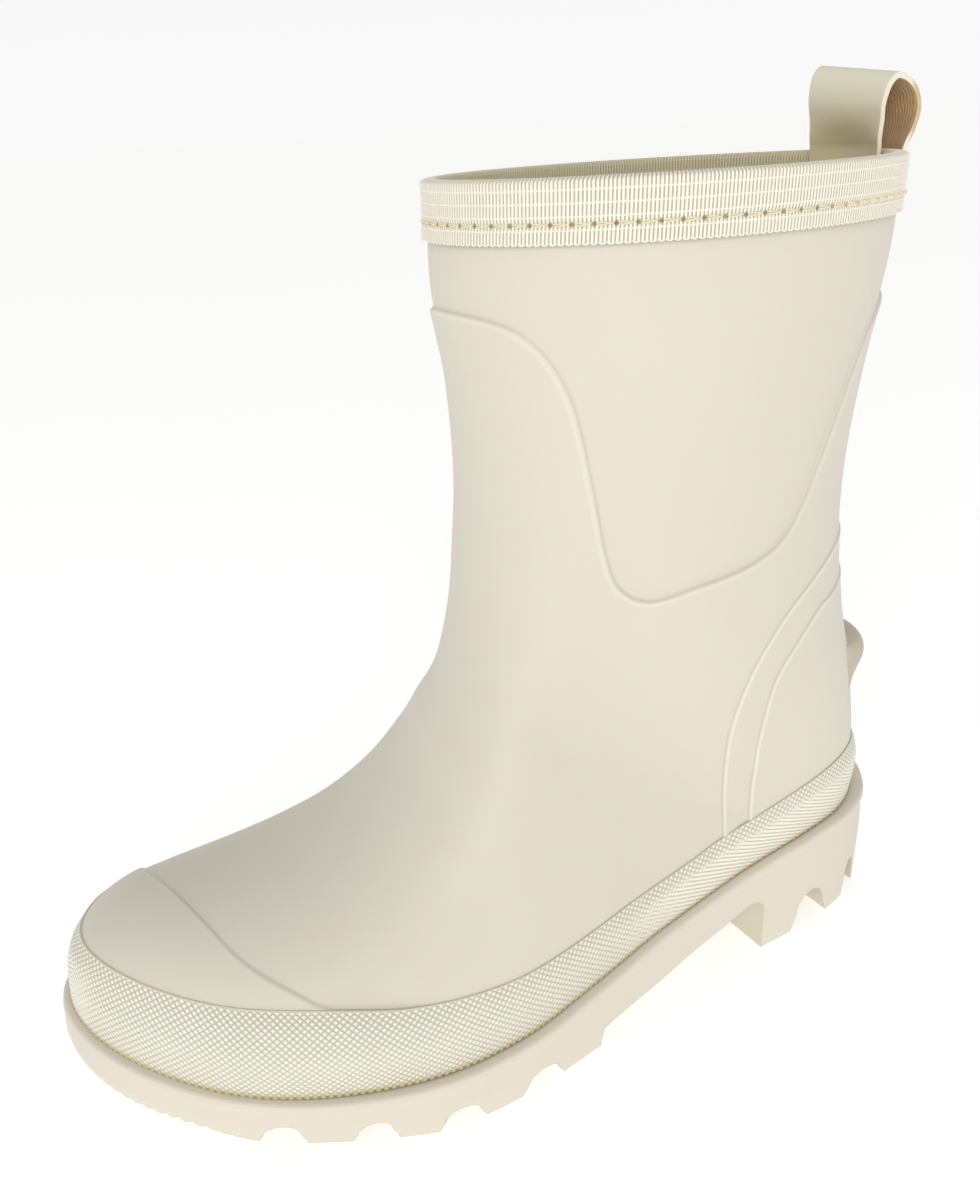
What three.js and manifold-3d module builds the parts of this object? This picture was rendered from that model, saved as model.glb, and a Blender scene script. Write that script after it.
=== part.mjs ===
// Child's rubber boot for the left foot, empty and standing on its sole.
// Millimetres, +X towards the toe, +Y towards the outer side, +Z up, floor at z = 0.

import * as THREE from 'three';
import { mergeVertices } from 'three/addons/utils/BufferGeometryUtils.js';
import Module from 'manifold-3d';

const wasm = await Module();
wasm.setup();

// Driving dimensions

const SOLE_LENGTH = 205; // lip of the outsole, heel to toe
const BALL_WIDTH = 83; // lip of the outsole across the ball
const COLLAR_HEIGHT = 180.6; // floor to the top of the binding
const COLLAR_LENGTH = 105.5; // front to back, without the binding
const COLLAR_WIDTH = 82.1;
const ANKLE_HEIGHT = 104; // floor to the narrowest part of the shaft
const ANKLE_LENGTH = 89.9;
const ANKLE_WIDTH = 70.3;
const INSTEP_HEIGHT = 104; // floor to the ridge where vamp and shaft meet
const HEEL_SEAT = 26; // floor to the top of the outsole at the heel
const BREAST_HEIGHT = 14.8; // floor to the arch at the front of the heel
const TOE_SPRING = 11; // floor to the sole's underside at the tip
const CLEARANCE = 0.3; // between pieces that meet

const WALL = 1.6; // of the upper
const OVERLAY_STEP = 0.9; // vamp overlay above the shaft; the form runs midway up this step
const TOE_CAP_STEP = 0.6; // toe cap above the vamp overlay
const COUNTER_STEP = 0.4; // each counter layer above the one under it

const LIP_MARGIN = 4.8; // lip of the outsole beyond the upper's form, along the sides
const SIDE_HEIGHT = 6; // upright part of the upper's side, above the outsole
const INSTEP_BLEND = 14; // roundness where the shaft meets the vamp
const HEEL_BLEND = 2;
const BLEND_RISE = 30; // height above the outsole over which the instep's roundness grows in

const FOXING_THICKNESS = 1.5; // at its top edge
const FOXING_HEIGHT = 18; // at the ball

const LIP_ROUND = 0.9; // edge of the outsole's lip
const SIDE_DRAFT = 1.5; // how far the outsole's side leans in at the floor
const TOE_BUMPER = 1.3; // how far the outsole's side stands out beyond its lip at the toe
const LUG_DEPTH = 14; // from the side inwards
const LUG_HEIGHT = 5; // forefoot
const HEEL_LUG_HEIGHT = 9.4;
const BAR_LENGTH = 7; // lugs across the middle of the tread, along the foot
const BAR_GAP = 4; // between a middle bar and the lugs at the side

const INSOLE_THICKNESS = 3;

const BINDING_THICKNESS = 0.9;
const BINDING_HEIGHT = 11.3;

const STRAP_WIDTH = 24;
const STRAP_SHIFT = 2.6; // middle of the strap, to the outer side of the boot's axis
const STRAP_THICKNESS = 1.4;
const STRAP_CLEARANCE = 0.4; // to the round of the binding, which has flat facets
const LOOP_RISE = 16.5; // top of the loop above the binding
const LOOP_BULGE = 2.6; // how far the outer leg bows out above the binding
const STRAP_TUCK = 9; // how far each leg reaches below the binding's top

const SPUR_REACH = 7.8; // kick spur beyond the heel
const SPUR_WIDTH = 42;
const SPUR_TOP = 70.5; // floor to its ledge
const SPUR_HEIGHT = 12.5;

const CREAM_UPPER = 0xe8e3d0;
const CREAM_SOLE = 0xe5ddcd;
const CREAM_TAPE = 0xf3eedc;
const STRAP_CREAM = 0xcdc8b2;

const FOOT = { length: SOLE_LENGTH, width: BALL_WIDTH };
const ANKLE = { length: ANKLE_LENGTH, width: ANKLE_WIDTH };
const COLLAR = { length: COLLAR_LENGTH, width: COLLAR_WIDTH };

// Lip of the outsole. at: share of SOLE_LENGTH; outer, inner: shares of BALL_WIDTH from the axis.
const OUTLINE = [
  { at: 0, outer: 0, inner: 0 },
  { at: 0.02, outer: 0.133, inner: 0.133 },
  { at: 0.05, outer: 0.219, inner: 0.224 },
  { at: 0.1, outer: 0.294, inner: 0.299 },
  { at: 0.18, outer: 0.345, inner: 0.34 },
  { at: 0.3, outer: 0.381, inner: 0.333 },
  { at: 0.4, outer: 0.419, inner: 0.32 },
  { at: 0.5, outer: 0.477, inner: 0.349 },
  { at: 0.6, outer: 0.53, inner: 0.417 },
  { at: 0.68, outer: 0.537, inner: 0.47 },
  { at: 0.76, outer: 0.501, inner: 0.499 },
  { at: 0.82, outer: 0.451, inner: 0.492 },
  { at: 0.88, outer: 0.376, inner: 0.458 },
  { at: 0.94, outer: 0.253, inner: 0.378 },
  { at: 0.98, outer: 0.116, inner: 0.258 },
  { at: 1, outer: -0.084, inner: 0.084 },
];

// Top of the outsole. height: share of HEEL_SEAT.
const SOLE_TOP = [
  { at: 0, height: 1 },
  { at: 0.22, height: 0.962 },
  { at: 0.4, height: 0.75 },
  { at: 0.6, height: 0.523 },
  { at: 0.76, height: 0.508 },
  { at: 0.88, height: 0.615 },
  { at: 1, height: 0.885 },
];

// Underside of the lugs. height: share of TOE_SPRING.
const SOLE_BOTTOM = [
  { at: 0, height: 0 },
  { at: 0.7, height: 0 },
  { at: 0.74, height: 0.12 },
  { at: 0.8, height: 0.28 },
  { at: 0.87, height: 0.44 },
  { at: 0.94, height: 0.76 },
  { at: 1, height: 1 },
];

// Arch between forefoot and heel. height: share of BREAST_HEIGHT.
const ARCH = [
  { at: 0.502, height: -0.2 },
  { at: 0.497, height: 0.23 },
  { at: 0.486, height: 0.34 },
  { at: 0.414, height: 0.49 },
  { at: 0.348, height: 0.73 },
  { at: 0.298, height: 0.9 },
  { at: 0.272, height: 1 },
  { at: 0.256, height: 0.96 },
  { at: 0.249, height: 0.82 },
  { at: 0.249, height: -0.2 },
];

// Notches between the side lugs. from, to: shares of SOLE_LENGTH; lug: height of its lugs.
const NOTCHES = [
  { from: 0.063, to: 0.0985, lug: HEEL_LUG_HEIGHT },
  { from: 0.134, to: 0.1995, lug: HEEL_LUG_HEIGHT },
  { from: 0.553, to: 0.608, lug: LUG_HEIGHT },
  { from: 0.65, to: 0.702, lug: LUG_HEIGHT },
  { from: 0.741, to: 0.786, lug: LUG_HEIGHT },
  { from: 0.825, to: 0.869, lug: LUG_HEIGHT },
];

// Pockets inside the side lugs, with a row of bars across each.
const POCKETS = [
  { from: 0.02, to: 0.249, depth: HEEL_LUG_HEIGHT, bars: [0.13] },
  { from: 0.49, to: 0.93, depth: LUG_HEIGHT, bars: [0.53, 0.629, 0.722, 0.806] },
];

// Lip of the outsole beyond the upper's form and beyond the foxing. Both: shares of LIP_MARGIN.
const MARGIN = [
  { at: 0, upper: 1.48, foxing: 0.85 },
  { at: 0.12, upper: 1.12, foxing: 0.6 },
  { at: 0.3, upper: 1, foxing: 0.5 },
  { at: 0.75, upper: 1, foxing: 0.5 },
  { at: 0.9, upper: 0.85, foxing: 0.32 },
  { at: 1, upper: 0.65, foxing: 0.16 },
];

// Ridge of the foot. height: share of INSTEP_HEIGHT.
const VAMP = [
  { at: 0, height: 0.385 },
  { at: 0.146, height: 0.596 },
  { at: 0.293, height: 0.885 },
  { at: 0.429, height: 1 },
  { at: 0.488, height: 0.962 },
  { at: 0.537, height: 0.882 },
  { at: 0.576, height: 0.774 },
  { at: 0.62, height: 0.645 },
  { at: 0.673, height: 0.548 },
  { at: 0.732, height: 0.487 },
  { at: 0.795, height: 0.451 },
  { at: 0.859, height: 0.436 },
  { at: 0.917, height: 0.437 },
  { at: 1, height: 0.419 },
];

// Level sections of the shaft. up: see heightAt; middle: share of SOLE_LENGTH;
// length, width: shares of that section's own size; power: 2 is an ellipse, more is squarer.
const SHAFT = [
  { up: 0.096, size: FOOT, middle: 0.213, length: 0.35, width: 0.52, power: 2.2 },
  { up: 0.25, size: FOOT, middle: 0.2272, length: 0.38, width: 0.555, power: 2.25 },
  { up: 0.433, size: FOOT, middle: 0.2446, length: 0.404, width: 0.64, power: 2.25 },
  { up: 0.625, size: FOOT, middle: 0.269, length: 0.4137, width: 0.736, power: 2.2 },
  { up: 0.788, size: FOOT, middle: 0.293, length: 0.4259, width: 0.794, power: 2.1 },
  { up: 1, size: ANKLE, middle: 0.3063, length: 1, width: 1, power: 2.05 },
  { up: 1.183, size: ANKLE, middle: 0.3039, length: 1.016, width: 1.02, power: 2 },
  { up: 1.47, size: COLLAR, middle: 0.2963, length: 0.91, width: 0.915, power: 2 },
  { up: 1.731, size: COLLAR, middle: 0.29, length: 0.985, width: 0.973, power: 2 },
  { up: 2, size: COLLAR, middle: 0.2837, length: 0.997, width: 1, power: 2 },
  { up: 2.25, size: COLLAR, middle: 0.283, length: 1.025, width: 1.025, power: 2 },
];

// Upper edge of the vamp overlay, from the front of the shaft to its back.
const OVERLAY_EDGE = [
  { at: 0.66, up: 1.7 },
  { at: 0.54, up: 1.693 },
  { at: 0.511, up: 1.65 },
  { at: 0.485, up: 1.55 },
  { at: 0.47, up: 1.43 },
  { at: 0.457, up: 1.231 },
  { at: 0.448, up: 1.05 },
  { at: 0.436, up: 0.975 },
  { at: 0.409, up: 0.945 },
  { at: 0.362, up: 0.966 },
  { at: 0.296, up: 0.992 },
  { at: 0.25, up: 1.06 },
  { at: 0.205, up: 1.245 },
  { at: 0.165, up: 1.43 },
  { at: 0.12, up: 1.58 },
  { at: 0.05, up: 1.64 },
  { at: -0.1, up: 1.65 },
];

// Front edges of the two counter layers, from the foxing to the back of the heel.
const COUNTER_EDGES = [
  [
    { at: 0.302, up: 0.34 },
    { at: 0.303, up: 0.45 },
    { at: 0.308, up: 0.59 },
    { at: 0.298, up: 0.7 },
    { at: 0.274, up: 0.797 },
    { at: 0.234, up: 0.879 },
    { at: 0.164, up: 0.946 },
    { at: 0.08, up: 0.975 },
    { at: -0.1, up: 0.98 },
  ],
  [
    { at: 0.265, up: 0.34 },
    { at: 0.266, up: 0.45 },
    { at: 0.268, up: 0.584 },
    { at: 0.254, up: 0.721 },
    { at: 0.202, up: 0.826 },
    { at: 0.165, up: 0.848 },
    { at: 0.08, up: 0.87 },
    { at: -0.1, up: 0.875 },
  ],
];

// Edge of the toe cap seen from above. across: share of BALL_WIDTH, outer side positive.
const TOE_CAP_EDGE = [
  { at: 0.66, across: -0.62 },
  { at: 0.79, across: -0.5 },
  { at: 0.86, across: -0.41 },
  { at: 0.893, across: -0.29 },
  { at: 0.894, across: -0.17 },
  { at: 0.886, across: -0.06 },
  { at: 0.865, across: 0.125 },
  { at: 0.842, across: 0.253 },
  { at: 0.8, across: 0.36 },
  { at: 0.765, across: 0.418 },
  { at: 0.66, across: 0.6 },
];

// Height of the foxing above the outsole. height: share of FOXING_HEIGHT.
const FOXING_TOP = [
  { at: 0, height: 0.87 },
  { at: 0.09, height: 0.87 },
  { at: 0.26, height: 0.65 },
  { at: 0.35, height: 0.58 },
  { at: 0.5, height: 0.635 },
  { at: 0.68, height: 0.845 },
  { at: 0.8, height: 0.985 },
  { at: 0.9, height: 0.96 },
  { at: 1, height: 0.86 },
];

// Middle of the strap above the binding, from its outer leg over the top to its inner leg.
// bow: shares of LOOP_BULGE away from that leg; rise: share of LOOP_RISE; over: 0 outer leg, 1 inner leg.
const LOOP = [
  { over: 0, bow: 0.15, rise: 0.02 },
  { over: 0, bow: 0.75, rise: 0.25 },
  { over: 0, bow: 1, rise: 0.5 },
  { over: 0.02, bow: 0.8, rise: 0.72 },
  { over: 0.18, bow: 0.4, rise: 0.88 },
  { over: 0.42, bow: 0, rise: 0.955 },
  { over: 0.68, bow: 0, rise: 0.94 },
  { over: 0.88, bow: 0.15, rise: 0.82 },
  { over: 1, bow: 0.3, rise: 0.6 },
  { over: 1, bow: 0.3, rise: 0.38 },
  { over: 1, bow: 0.15, rise: 0.16 },
  { over: 1, bow: 0.02, rise: 0.02 },
];

// Curves through the tables

const mix = (a, b, t) => a + (b - a) * t;
const clamp = (value, low, high) => Math.min(Math.max(value, low), high);
const smoothstep = (t) => t * t * (3 - 2 * t);

// A smooth curve through the rows of a table, level with the end rows beyond them.
function curve(table, key, column) {
  const xs = table.map(key);
  const ys = table.map(column);
  const last = xs.length - 1;
  const steps = xs.slice(1).map((x, i) => x - xs[i]);
  const slopes = steps.map((step, i) => (ys[i + 1] - ys[i]) / step);
  const tangents = xs.map((_, i) => {
    if (i === 0) return slopes[0];
    if (i === last) return slopes[last - 1];
    return (slopes[i - 1] * steps[i] + slopes[i] * steps[i - 1]) / (steps[i - 1] + steps[i]);
  });
  return (x) => {
    const at = clamp(x, xs[0], xs[last]);
    let i = 0;
    while (i < last - 1 && at > xs[i + 1]) i += 1;
    const t = (at - xs[i]) / steps[i];
    const rise = mix(ys[i], ys[i + 1], smoothstep(t));
    const lead = tangents[i] * t * (1 - t) * (1 - t);
    const trail = tangents[i + 1] * t * t * (t - 1);
    return rise + steps[i] * (lead + trail);
  };
}

// 0 at the floor, 1 at the ankle, 2 at the collar.
const heightAt = (up) =>
  up < 1 ? up * ANKLE_HEIGHT : ANKLE_HEIGHT + (up - 1) * (COLLAR_HEIGHT - ANKLE_HEIGHT);

const along = (row) => row.at * SOLE_LENGTH;
const soleTop = curve(SOLE_TOP, along, (row) => row.height * HEEL_SEAT);
const toeLift = curve(SOLE_BOTTOM, along, (row) => row.height * TOE_SPRING);
const soleBottom = (x) => Math.max(toeLift(x), 0);
const vampRidge = curve(VAMP, along, (row) => row.height * INSTEP_HEIGHT);
const upperMargin = curve(MARGIN, along, (row) => row.upper * LIP_MARGIN);
const foxingMargin = curve(MARGIN, along, (row) => row.foxing * LIP_MARGIN);
const foxingHeight = curve(FOXING_TOP, along, (row) => row.height * FOXING_HEIGHT);

// The outline's key is an angle, 0 at the heel and PI at the toe, so that both ends come out round.
const outlineAngle = (row) => Math.acos(1 - 2 * row.at);
const outerHalf = curve(OUTLINE, outlineAngle, (row) => row.outer * BALL_WIDTH);
const innerHalf = curve(OUTLINE, outlineAngle, (row) => row.inner * BALL_WIDTH);

const shaftHeight = (row) => heightAt(row.up);
const shaftMiddle = curve(SHAFT, shaftHeight, (row) => row.middle * SOLE_LENGTH);
const shaftLength = curve(SHAFT, shaftHeight, (row) => row.length * row.size.length);
const shaftWidth = curve(SHAFT, shaftHeight, (row) => row.width * row.size.width);
const shaftPower = curve(SHAFT, shaftHeight, (row) => row.power);

// The form of the last: negative inside, positive outside, close to a distance in millimetres

const TOE_ROUND_START = 0.795 * SOLE_LENGTH;
const UPPER_BACK = upperMargin(0);
const UPPER_FRONT = SOLE_LENGTH - upperMargin(SOLE_LENGTH);
const TINY = 0.05;

function footHalves(x) {
  const share = clamp((x - UPPER_BACK) / (UPPER_FRONT - UPPER_BACK), 0, 1);
  const angle = Math.acos(1 - 2 * share);
  const margin = upperMargin(x) * Math.sin(angle) ** 0.8;
  return { outer: outerHalf(angle) - margin, inner: innerHalf(angle) - margin };
}

function footRidge(x) {
  const side = soleTop(x) + SIDE_HEIGHT;
  const round = clamp((x - TOE_ROUND_START) / (UPPER_FRONT - TOE_ROUND_START), 0, 1);
  return side + (vampRidge(x) - side) * Math.cbrt(1 - round ** 3);
}

function footBody(x, y, z) {
  const { outer, inner } = footHalves(x);
  const middle = (outer - inner) / 2;
  const half = Math.max((outer + inner) / 2, TINY);
  const side = soleTop(x) + SIDE_HEIGHT;
  const rise = Math.max(footRidge(x) - side, TINY);
  const across = Math.abs((y - middle) / half);
  const up = Math.max(z - side, 0) / rise;
  const beyond = Math.max(UPPER_BACK - x, x - UPPER_FRONT, 0);
  const radius = Math.sqrt(across ** 2.1 + up ** 1.8);
  return (radius - 1) * Math.min(half, rise) * 0.9 + beyond;
}

function shaftBody(x, y, z) {
  const power = shaftPower(z);
  const alongShaft = Math.abs((x - shaftMiddle(z)) / (shaftLength(z) / 2));
  const across = Math.abs(y / (shaftWidth(z) / 2));
  return ((alongShaft ** power + across ** power) ** (1 / power) - 1) * (shaftWidth(z) / 2);
}

function form(x, y, z) {
  const foot = footBody(x, y, z);
  const shaft = shaftBody(x, y, z);
  const front = clamp((x / SOLE_LENGTH - 0.293) / 0.244, 0, 1);
  const raised = clamp((z - soleTop(x) - SIDE_HEIGHT) / BLEND_RISE, 0, 1);
  const blend = mix(HEEL_BLEND, INSTEP_BLEND, smoothstep(front) * smoothstep(raised));
  const share = clamp(0.5 + (0.5 * (shaft - foot)) / blend, 0, 1);
  return mix(shaft, foot, share) - blend * share * (1 - share);
}

// The form closed by a floor, well under the outsole's top where it is cut off later.
const FLOOR_DROP = 20;
const closedForm = (x, y, z) => Math.max(form(x, y, z), soleTop(x) - FLOOR_DROP - z);

function normalAt(x, y, z) {
  const e = 0.05;
  return new THREE.Vector3(
    closedForm(x + e, y, z) - closedForm(x - e, y, z),
    closedForm(x, y + e, z) - closedForm(x, y - e, z),
    closedForm(x, y, z + e) - closedForm(x, y, z - e),
  ).normalize();
}

// The point where a ray from inside leaves the form, moved out by the offset.
function surfacePoint(start, direction, offset) {
  const point = new THREE.Vector3();
  let near = 0;
  let far = SOLE_LENGTH;
  for (let i = 0; i < 26; i += 1) {
    const middle = (near + far) / 2;
    point.copy(start).addScaledVector(direction, middle);
    if (closedForm(point.x, point.y, point.z) < 0) near = middle;
    else far = middle;
  }
  return point.addScaledVector(normalAt(point.x, point.y, point.z), offset);
}

// Solids from points and outlines

function solidFrom(vertices, triangles) {
  const mesh = new wasm.Mesh({
    numProp: 3,
    vertProperties: new Float32Array(vertices.flatMap((v) => [v.x, v.y, v.z])),
    triVerts: new Uint32Array(triangles.flat()),
  });
  return new wasm.Manifold(mesh);
}

function solidFromGeometry(geometry) {
  const bare = geometry.clone();
  bare.deleteAttribute('normal');
  bare.deleteAttribute('uv');
  const merged = mergeVertices(bare, 1e-4);
  const mesh = new wasm.Mesh({
    numProp: 3,
    vertProperties: new Float32Array(merged.attributes.position.array),
    triVerts: new Uint32Array(merged.index.array),
  });
  return new wasm.Manifold(mesh);
}

function meshOf(name, solid, color, roughness) {
  const { vertProperties, triVerts } = solid.getMesh();
  const geometry = new THREE.BufferGeometry();
  geometry.setAttribute('position', new THREE.BufferAttribute(new Float32Array(vertProperties), 3));
  geometry.setIndex(new THREE.BufferAttribute(new Uint32Array(triVerts), 1));
  geometry.computeVertexNormals();
  const material = new THREE.MeshStandardMaterial({ color, roughness, metalness: 0 });
  const mesh = new THREE.Mesh(geometry, material);
  mesh.name = name;
  return mesh;
}

// Rings of points, joined one to the next, each ring turning right as seen along its direction of
// travel. With two end points it is a closed body, without them it runs back into its first ring.
function loft(rings, ends) {
  const around = rings[0].length;
  const vertices = rings.flat();
  const triangles = [];
  const bands = ends ? rings.length - 1 : rings.length;
  for (let i = 0; i < bands; i += 1) {
    const here = i * around;
    const next = ((i + 1) % rings.length) * around;
    for (let j = 0; j < around; j += 1) {
      const k = (j + 1) % around;
      triangles.push([here + j, next + k, here + k], [here + j, next + j, next + k]);
    }
  }
  if (ends) {
    const first = vertices.push(ends[0]) - 1;
    const last = vertices.push(ends[1]) - 1;
    const lastRing = (rings.length - 1) * around;
    for (let j = 0; j < around; j += 1) {
      const k = (j + 1) % around;
      triangles.push([first, j, k], [last, lastRing + k, lastRing + j]);
    }
  }
  return solidFrom(vertices, triangles);
}

// A side view outline of { x, z } points, extruded right across the boot.
function acrossBoot(points, from = -BALL_WIDTH, to = BALL_WIDTH) {
  const shape = new THREE.Shape(points.map((p) => new THREE.Vector2(p.x, p.z)));
  const geometry = new THREE.ExtrudeGeometry(shape, { depth: to - from, bevelEnabled: false });
  geometry.rotateX(Math.PI / 2);
  geometry.translate(0, to, 0);
  return solidFromGeometry(geometry);
}

// A plan view outline of { x, y } points, extruded upwards.
function upwards(points, from, to) {
  const shape = new THREE.Shape(points.map((p) => new THREE.Vector2(p.x, p.y)));
  const geometry = new THREE.ExtrudeGeometry(shape, { depth: to - from, bevelEnabled: false });
  geometry.translate(0, 0, from);
  return solidFromGeometry(geometry);
}

const union = (solids) => wasm.Manifold.union(solids);

// Everything under a height that changes along the foot, from heel to toe.
function below(height, raise, steps = 40) {
  const reach = 20;
  const points = [];
  for (let i = 0; i <= steps; i += 1) {
    const x = mix(-reach, SOLE_LENGTH + reach, i / steps);
    points.push({ x, z: height(x) + raise });
  }
  points.push({ x: SOLE_LENGTH + reach, z: -2 * FLOOR_DROP }, { x: -reach, z: -2 * FLOOR_DROP });
  return acrossBoot(points);
}

// Everything above a level.
const above = (level) =>
  acrossBoot([
    { x: -SOLE_LENGTH, z: level },
    { x: 2 * SOLE_LENGTH, z: level },
    { x: 2 * SOLE_LENGTH, z: 2 * COLLAR_HEIGHT },
    { x: -SOLE_LENGTH, z: 2 * COLLAR_HEIGHT },
  ]);

// The closed skin of the form, moved out by an offset. Its sections are level down the shaft,
// fan out round a pivot in front of the instep, and stand upright over the toes.

const PIVOT = { x: 0.82 * SOLE_LENGTH, z: ANKLE_HEIGHT + 0.18 * (COLLAR_HEIGHT - ANKLE_HEIGHT) };
const SKIN_TOP = COLLAR_HEIGHT + 4;
const FINE = { shaft: 5, fan: 13, toe: 8, around: 36 };
const COARSE = { shaft: 5, fan: 9, toe: 6, around: 36 };

// Distance of the sections' middles from the pivot. turn: 0 level, 1 upright; reach: share of SOLE_LENGTH.
const FAN_MIDDLES = [
  { turn: 0, reach: 0.515 },
  { turn: 0.25, reach: 0.54 },
  { turn: 0.5, reach: 0.5 },
  { turn: 0.75, reach: 0.44 },
  { turn: 1, reach: 0.415 },
];
const fanReach = curve(FAN_MIDDLES, (row) => row.turn, (row) => row.reach * SOLE_LENGTH);

function fanCentre(turn, direction) {
  const reach = fanReach(turn);
  return new THREE.Vector3(PIVOT.x - reach * direction.x, 0, PIVOT.z - reach * direction.z);
}

function sectionRing(centre, forward, around, offset) {
  const ring = [];
  for (let j = 0; j < around; j += 1) {
    const angle = (2 * Math.PI * j) / around;
    const direction = forward.clone().multiplyScalar(Math.cos(angle));
    direction.y = Math.sin(angle);
    ring.push(surfacePoint(centre, direction, offset));
  }
  return ring;
}

function skin(offset, density) {
  const rings = [];
  const level = new THREE.Vector3(1, 0, 0);
  for (let i = 0; i < density.shaft; i += 1) {
    const z = mix(SKIN_TOP, PIVOT.z, i / density.shaft);
    rings.push(sectionRing(new THREE.Vector3(shaftMiddle(z), 0, z), level, density.around, offset));
  }
  for (let i = 0; i < density.fan; i += 1) {
    const turn = i / density.fan;
    const forward = new THREE.Vector3(Math.cos((Math.PI / 2) * turn), 0, Math.sin((Math.PI / 2) * turn));
    rings.push(sectionRing(fanCentre(turn, forward), forward, density.around, offset));
  }
  const upright = new THREE.Vector3(0, 0, 1);
  const tip = UPPER_FRONT - 0.3;
  let centre = null;
  for (let i = 0; i < density.toe; i += 1) {
    const x = mix(PIVOT.x, tip, Math.sin((Math.PI / 2) * ((i + 0.5) / density.toe)));
    const { outer, inner } = footHalves(x);
    const z = mix(soleTop(x), footRidge(x), 0.35);
    centre = new THREE.Vector3(x, (outer - inner) / 2, z);
    rings.push(sectionRing(centre, upright, density.around, offset));
  }
  const top = new THREE.Vector3(shaftMiddle(SKIN_TOP), 0, SKIN_TOP);
  const front = new THREE.Vector3(UPPER_FRONT + offset, centre.y, centre.z);
  return loft(rings, [top, front]);
}

// Upper

const RIM = COLLAR_HEIGHT - BINDING_THICKNESS - CLEARANCE;
const SHAFT_FACE = -OVERLAY_STEP / 2; // offsets of the upper's faces from the form
const OVERLAY_FACE = OVERLAY_STEP / 2;
const LINING_FACE = SHAFT_FACE - WALL;
const FAR_BELOW = -2 * FLOOR_DROP;

function edgeCurve(points, steps) {
  return new THREE.SplineCurve(points.map(([a, b]) => new THREE.Vector2(a, b))).getPoints(steps);
}

function sidePrism(edge, steps) {
  const points = edgeCurve(edge.map((row) => [along(row), heightAt(row.up)]), steps);
  const outline = points.map((p) => ({ x: p.x, z: p.y }));
  outline.push({ x: outline[outline.length - 1].x, z: FAR_BELOW });
  outline.push({ x: Math.max(outline[0].x, SOLE_LENGTH + LIP_MARGIN), z: FAR_BELOW });
  outline.push({ x: Math.max(outline[0].x, SOLE_LENGTH + LIP_MARGIN), z: outline[0].z });
  return acrossBoot(outline);
}

// Everything behind a counter's edge, down to where the foxing covers it.
function counterPrism(edge, grow) {
  const points = edgeCurve(edge.map((row) => [along(row), heightAt(row.up)]), 20);
  const outline = points.map((p) => ({ x: p.x + grow, z: p.y }));
  outline[0].z -= grow;
  outline.push({ x: outline[outline.length - 1].x, z: outline[0].z });
  return acrossBoot(outline);
}

const TOE_CAP_FOOT = 1.12 * HEEL_SEAT; // lower end of the toe cap, behind the foxing

function toeCapPrism(grow) {
  const points = edgeCurve(TOE_CAP_EDGE.map((row) => [along(row), row.across * BALL_WIDTH]), 24);
  const outline = points.map((p) => ({ x: p.x - grow, y: p.y }));
  outline.push({ x: SOLE_LENGTH + LIP_MARGIN, y: outline[outline.length - 1].y });
  outline.push({ x: SOLE_LENGTH + LIP_MARGIN, y: outline[0].y });
  return upwards(outline, TOE_CAP_FOOT - grow, COLLAR_HEIGHT);
}

// Section of the kick spur, from its ledge to its underside. out: share of its reach at that place;
// down: share of SPUR_HEIGHT.
const SPUR_SECTION = [
  { out: 0.16, down: 0.08 },
  { out: 0.55, down: 0.17 },
  { out: 0.84, down: 0.14 },
  { out: 1, down: 0.28 },
  { out: 0.94, down: 0.5 },
  { out: 0.6, down: 0.74 },
  { out: 0.2, down: 0.92 },
];

// The shelf that follows the back of the heel, for the other foot to push on.
function kickSpur() {
  const stations = 16;
  const outermost = OVERLAY_FACE + COUNTER_STEP * COUNTER_EDGES.length;
  const rings = [];
  const ends = [];
  for (let i = 0; i <= stations; i += 1) {
    const side = -Math.cos(Math.PI * (i / stations));
    const y = (SPUR_WIDTH / 2) * side;
    const reach = SPUR_REACH * Math.sqrt(1 - Math.min(side ** 4, 0.99));
    const ring = SPUR_SECTION.map((row) => {
      const z = SPUR_TOP - row.down * SPUR_HEIGHT;
      const root = backFace(y, z, outermost);
      return new THREE.Vector3(root - row.out * reach, y, z);
    });
    const inner = backFace(y, SPUR_TOP - SPUR_HEIGHT / 2, SHAFT_FACE - WALL / 2);
    ring.push(new THREE.Vector3(inner, y, SPUR_TOP - SPUR_HEIGHT));
    ring.push(new THREE.Vector3(inner, y, SPUR_TOP));
    rings.push(ring);
  }
  [rings[0], rings[stations]].forEach((ring) => {
    const sum = ring.reduce((total, point) => total.add(point), new THREE.Vector3());
    ends.push(sum.divideScalar(ring.length));
  });
  return loft(rings, ends);
}

// The back of the shaft at a place across it, moved out by an offset along its own normal.
function backFace(y, z, offset) {
  const back = new THREE.Vector3(-1, 0, 0);
  let start = y;
  let point = null;
  for (let i = 0; i < 6; i += 1) {
    point = surfacePoint(new THREE.Vector3(shaftMiddle(z), start, z), back, offset);
    start += y - point.y;
  }
  return point.x;
}

// The upper's outside with every raised layer, grown by a clearance where a neighbour is cut to it.
function upperOutside(grow) {
  const lower = sidePrism(OVERLAY_EDGE, 48);
  const layers = [skin(SHAFT_FACE + grow, FINE)];
  layers.push(skin(OVERLAY_FACE + grow, FINE).intersect(lower));
  layers.push(skin(OVERLAY_FACE + TOE_CAP_STEP + grow, FINE).intersect(toeCapPrism(grow)));
  COUNTER_EDGES.forEach((edge, i) => {
    const face = OVERLAY_FACE + COUNTER_STEP * (i + 1) + grow;
    layers.push(skin(face, FINE).intersect(counterPrism(edge, grow)));
  });
  return union(layers);
}

function upper() {
  const cavity = skin(LINING_FACE, COARSE);
  const outside = union([upperOutside(0), kickSpur()]);
  return outside.subtract(cavity).subtract(above(RIM)).subtract(below(soleTop, CLEARANCE));
}

// Outlines seen from above, moved in from the lip of the outsole

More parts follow.
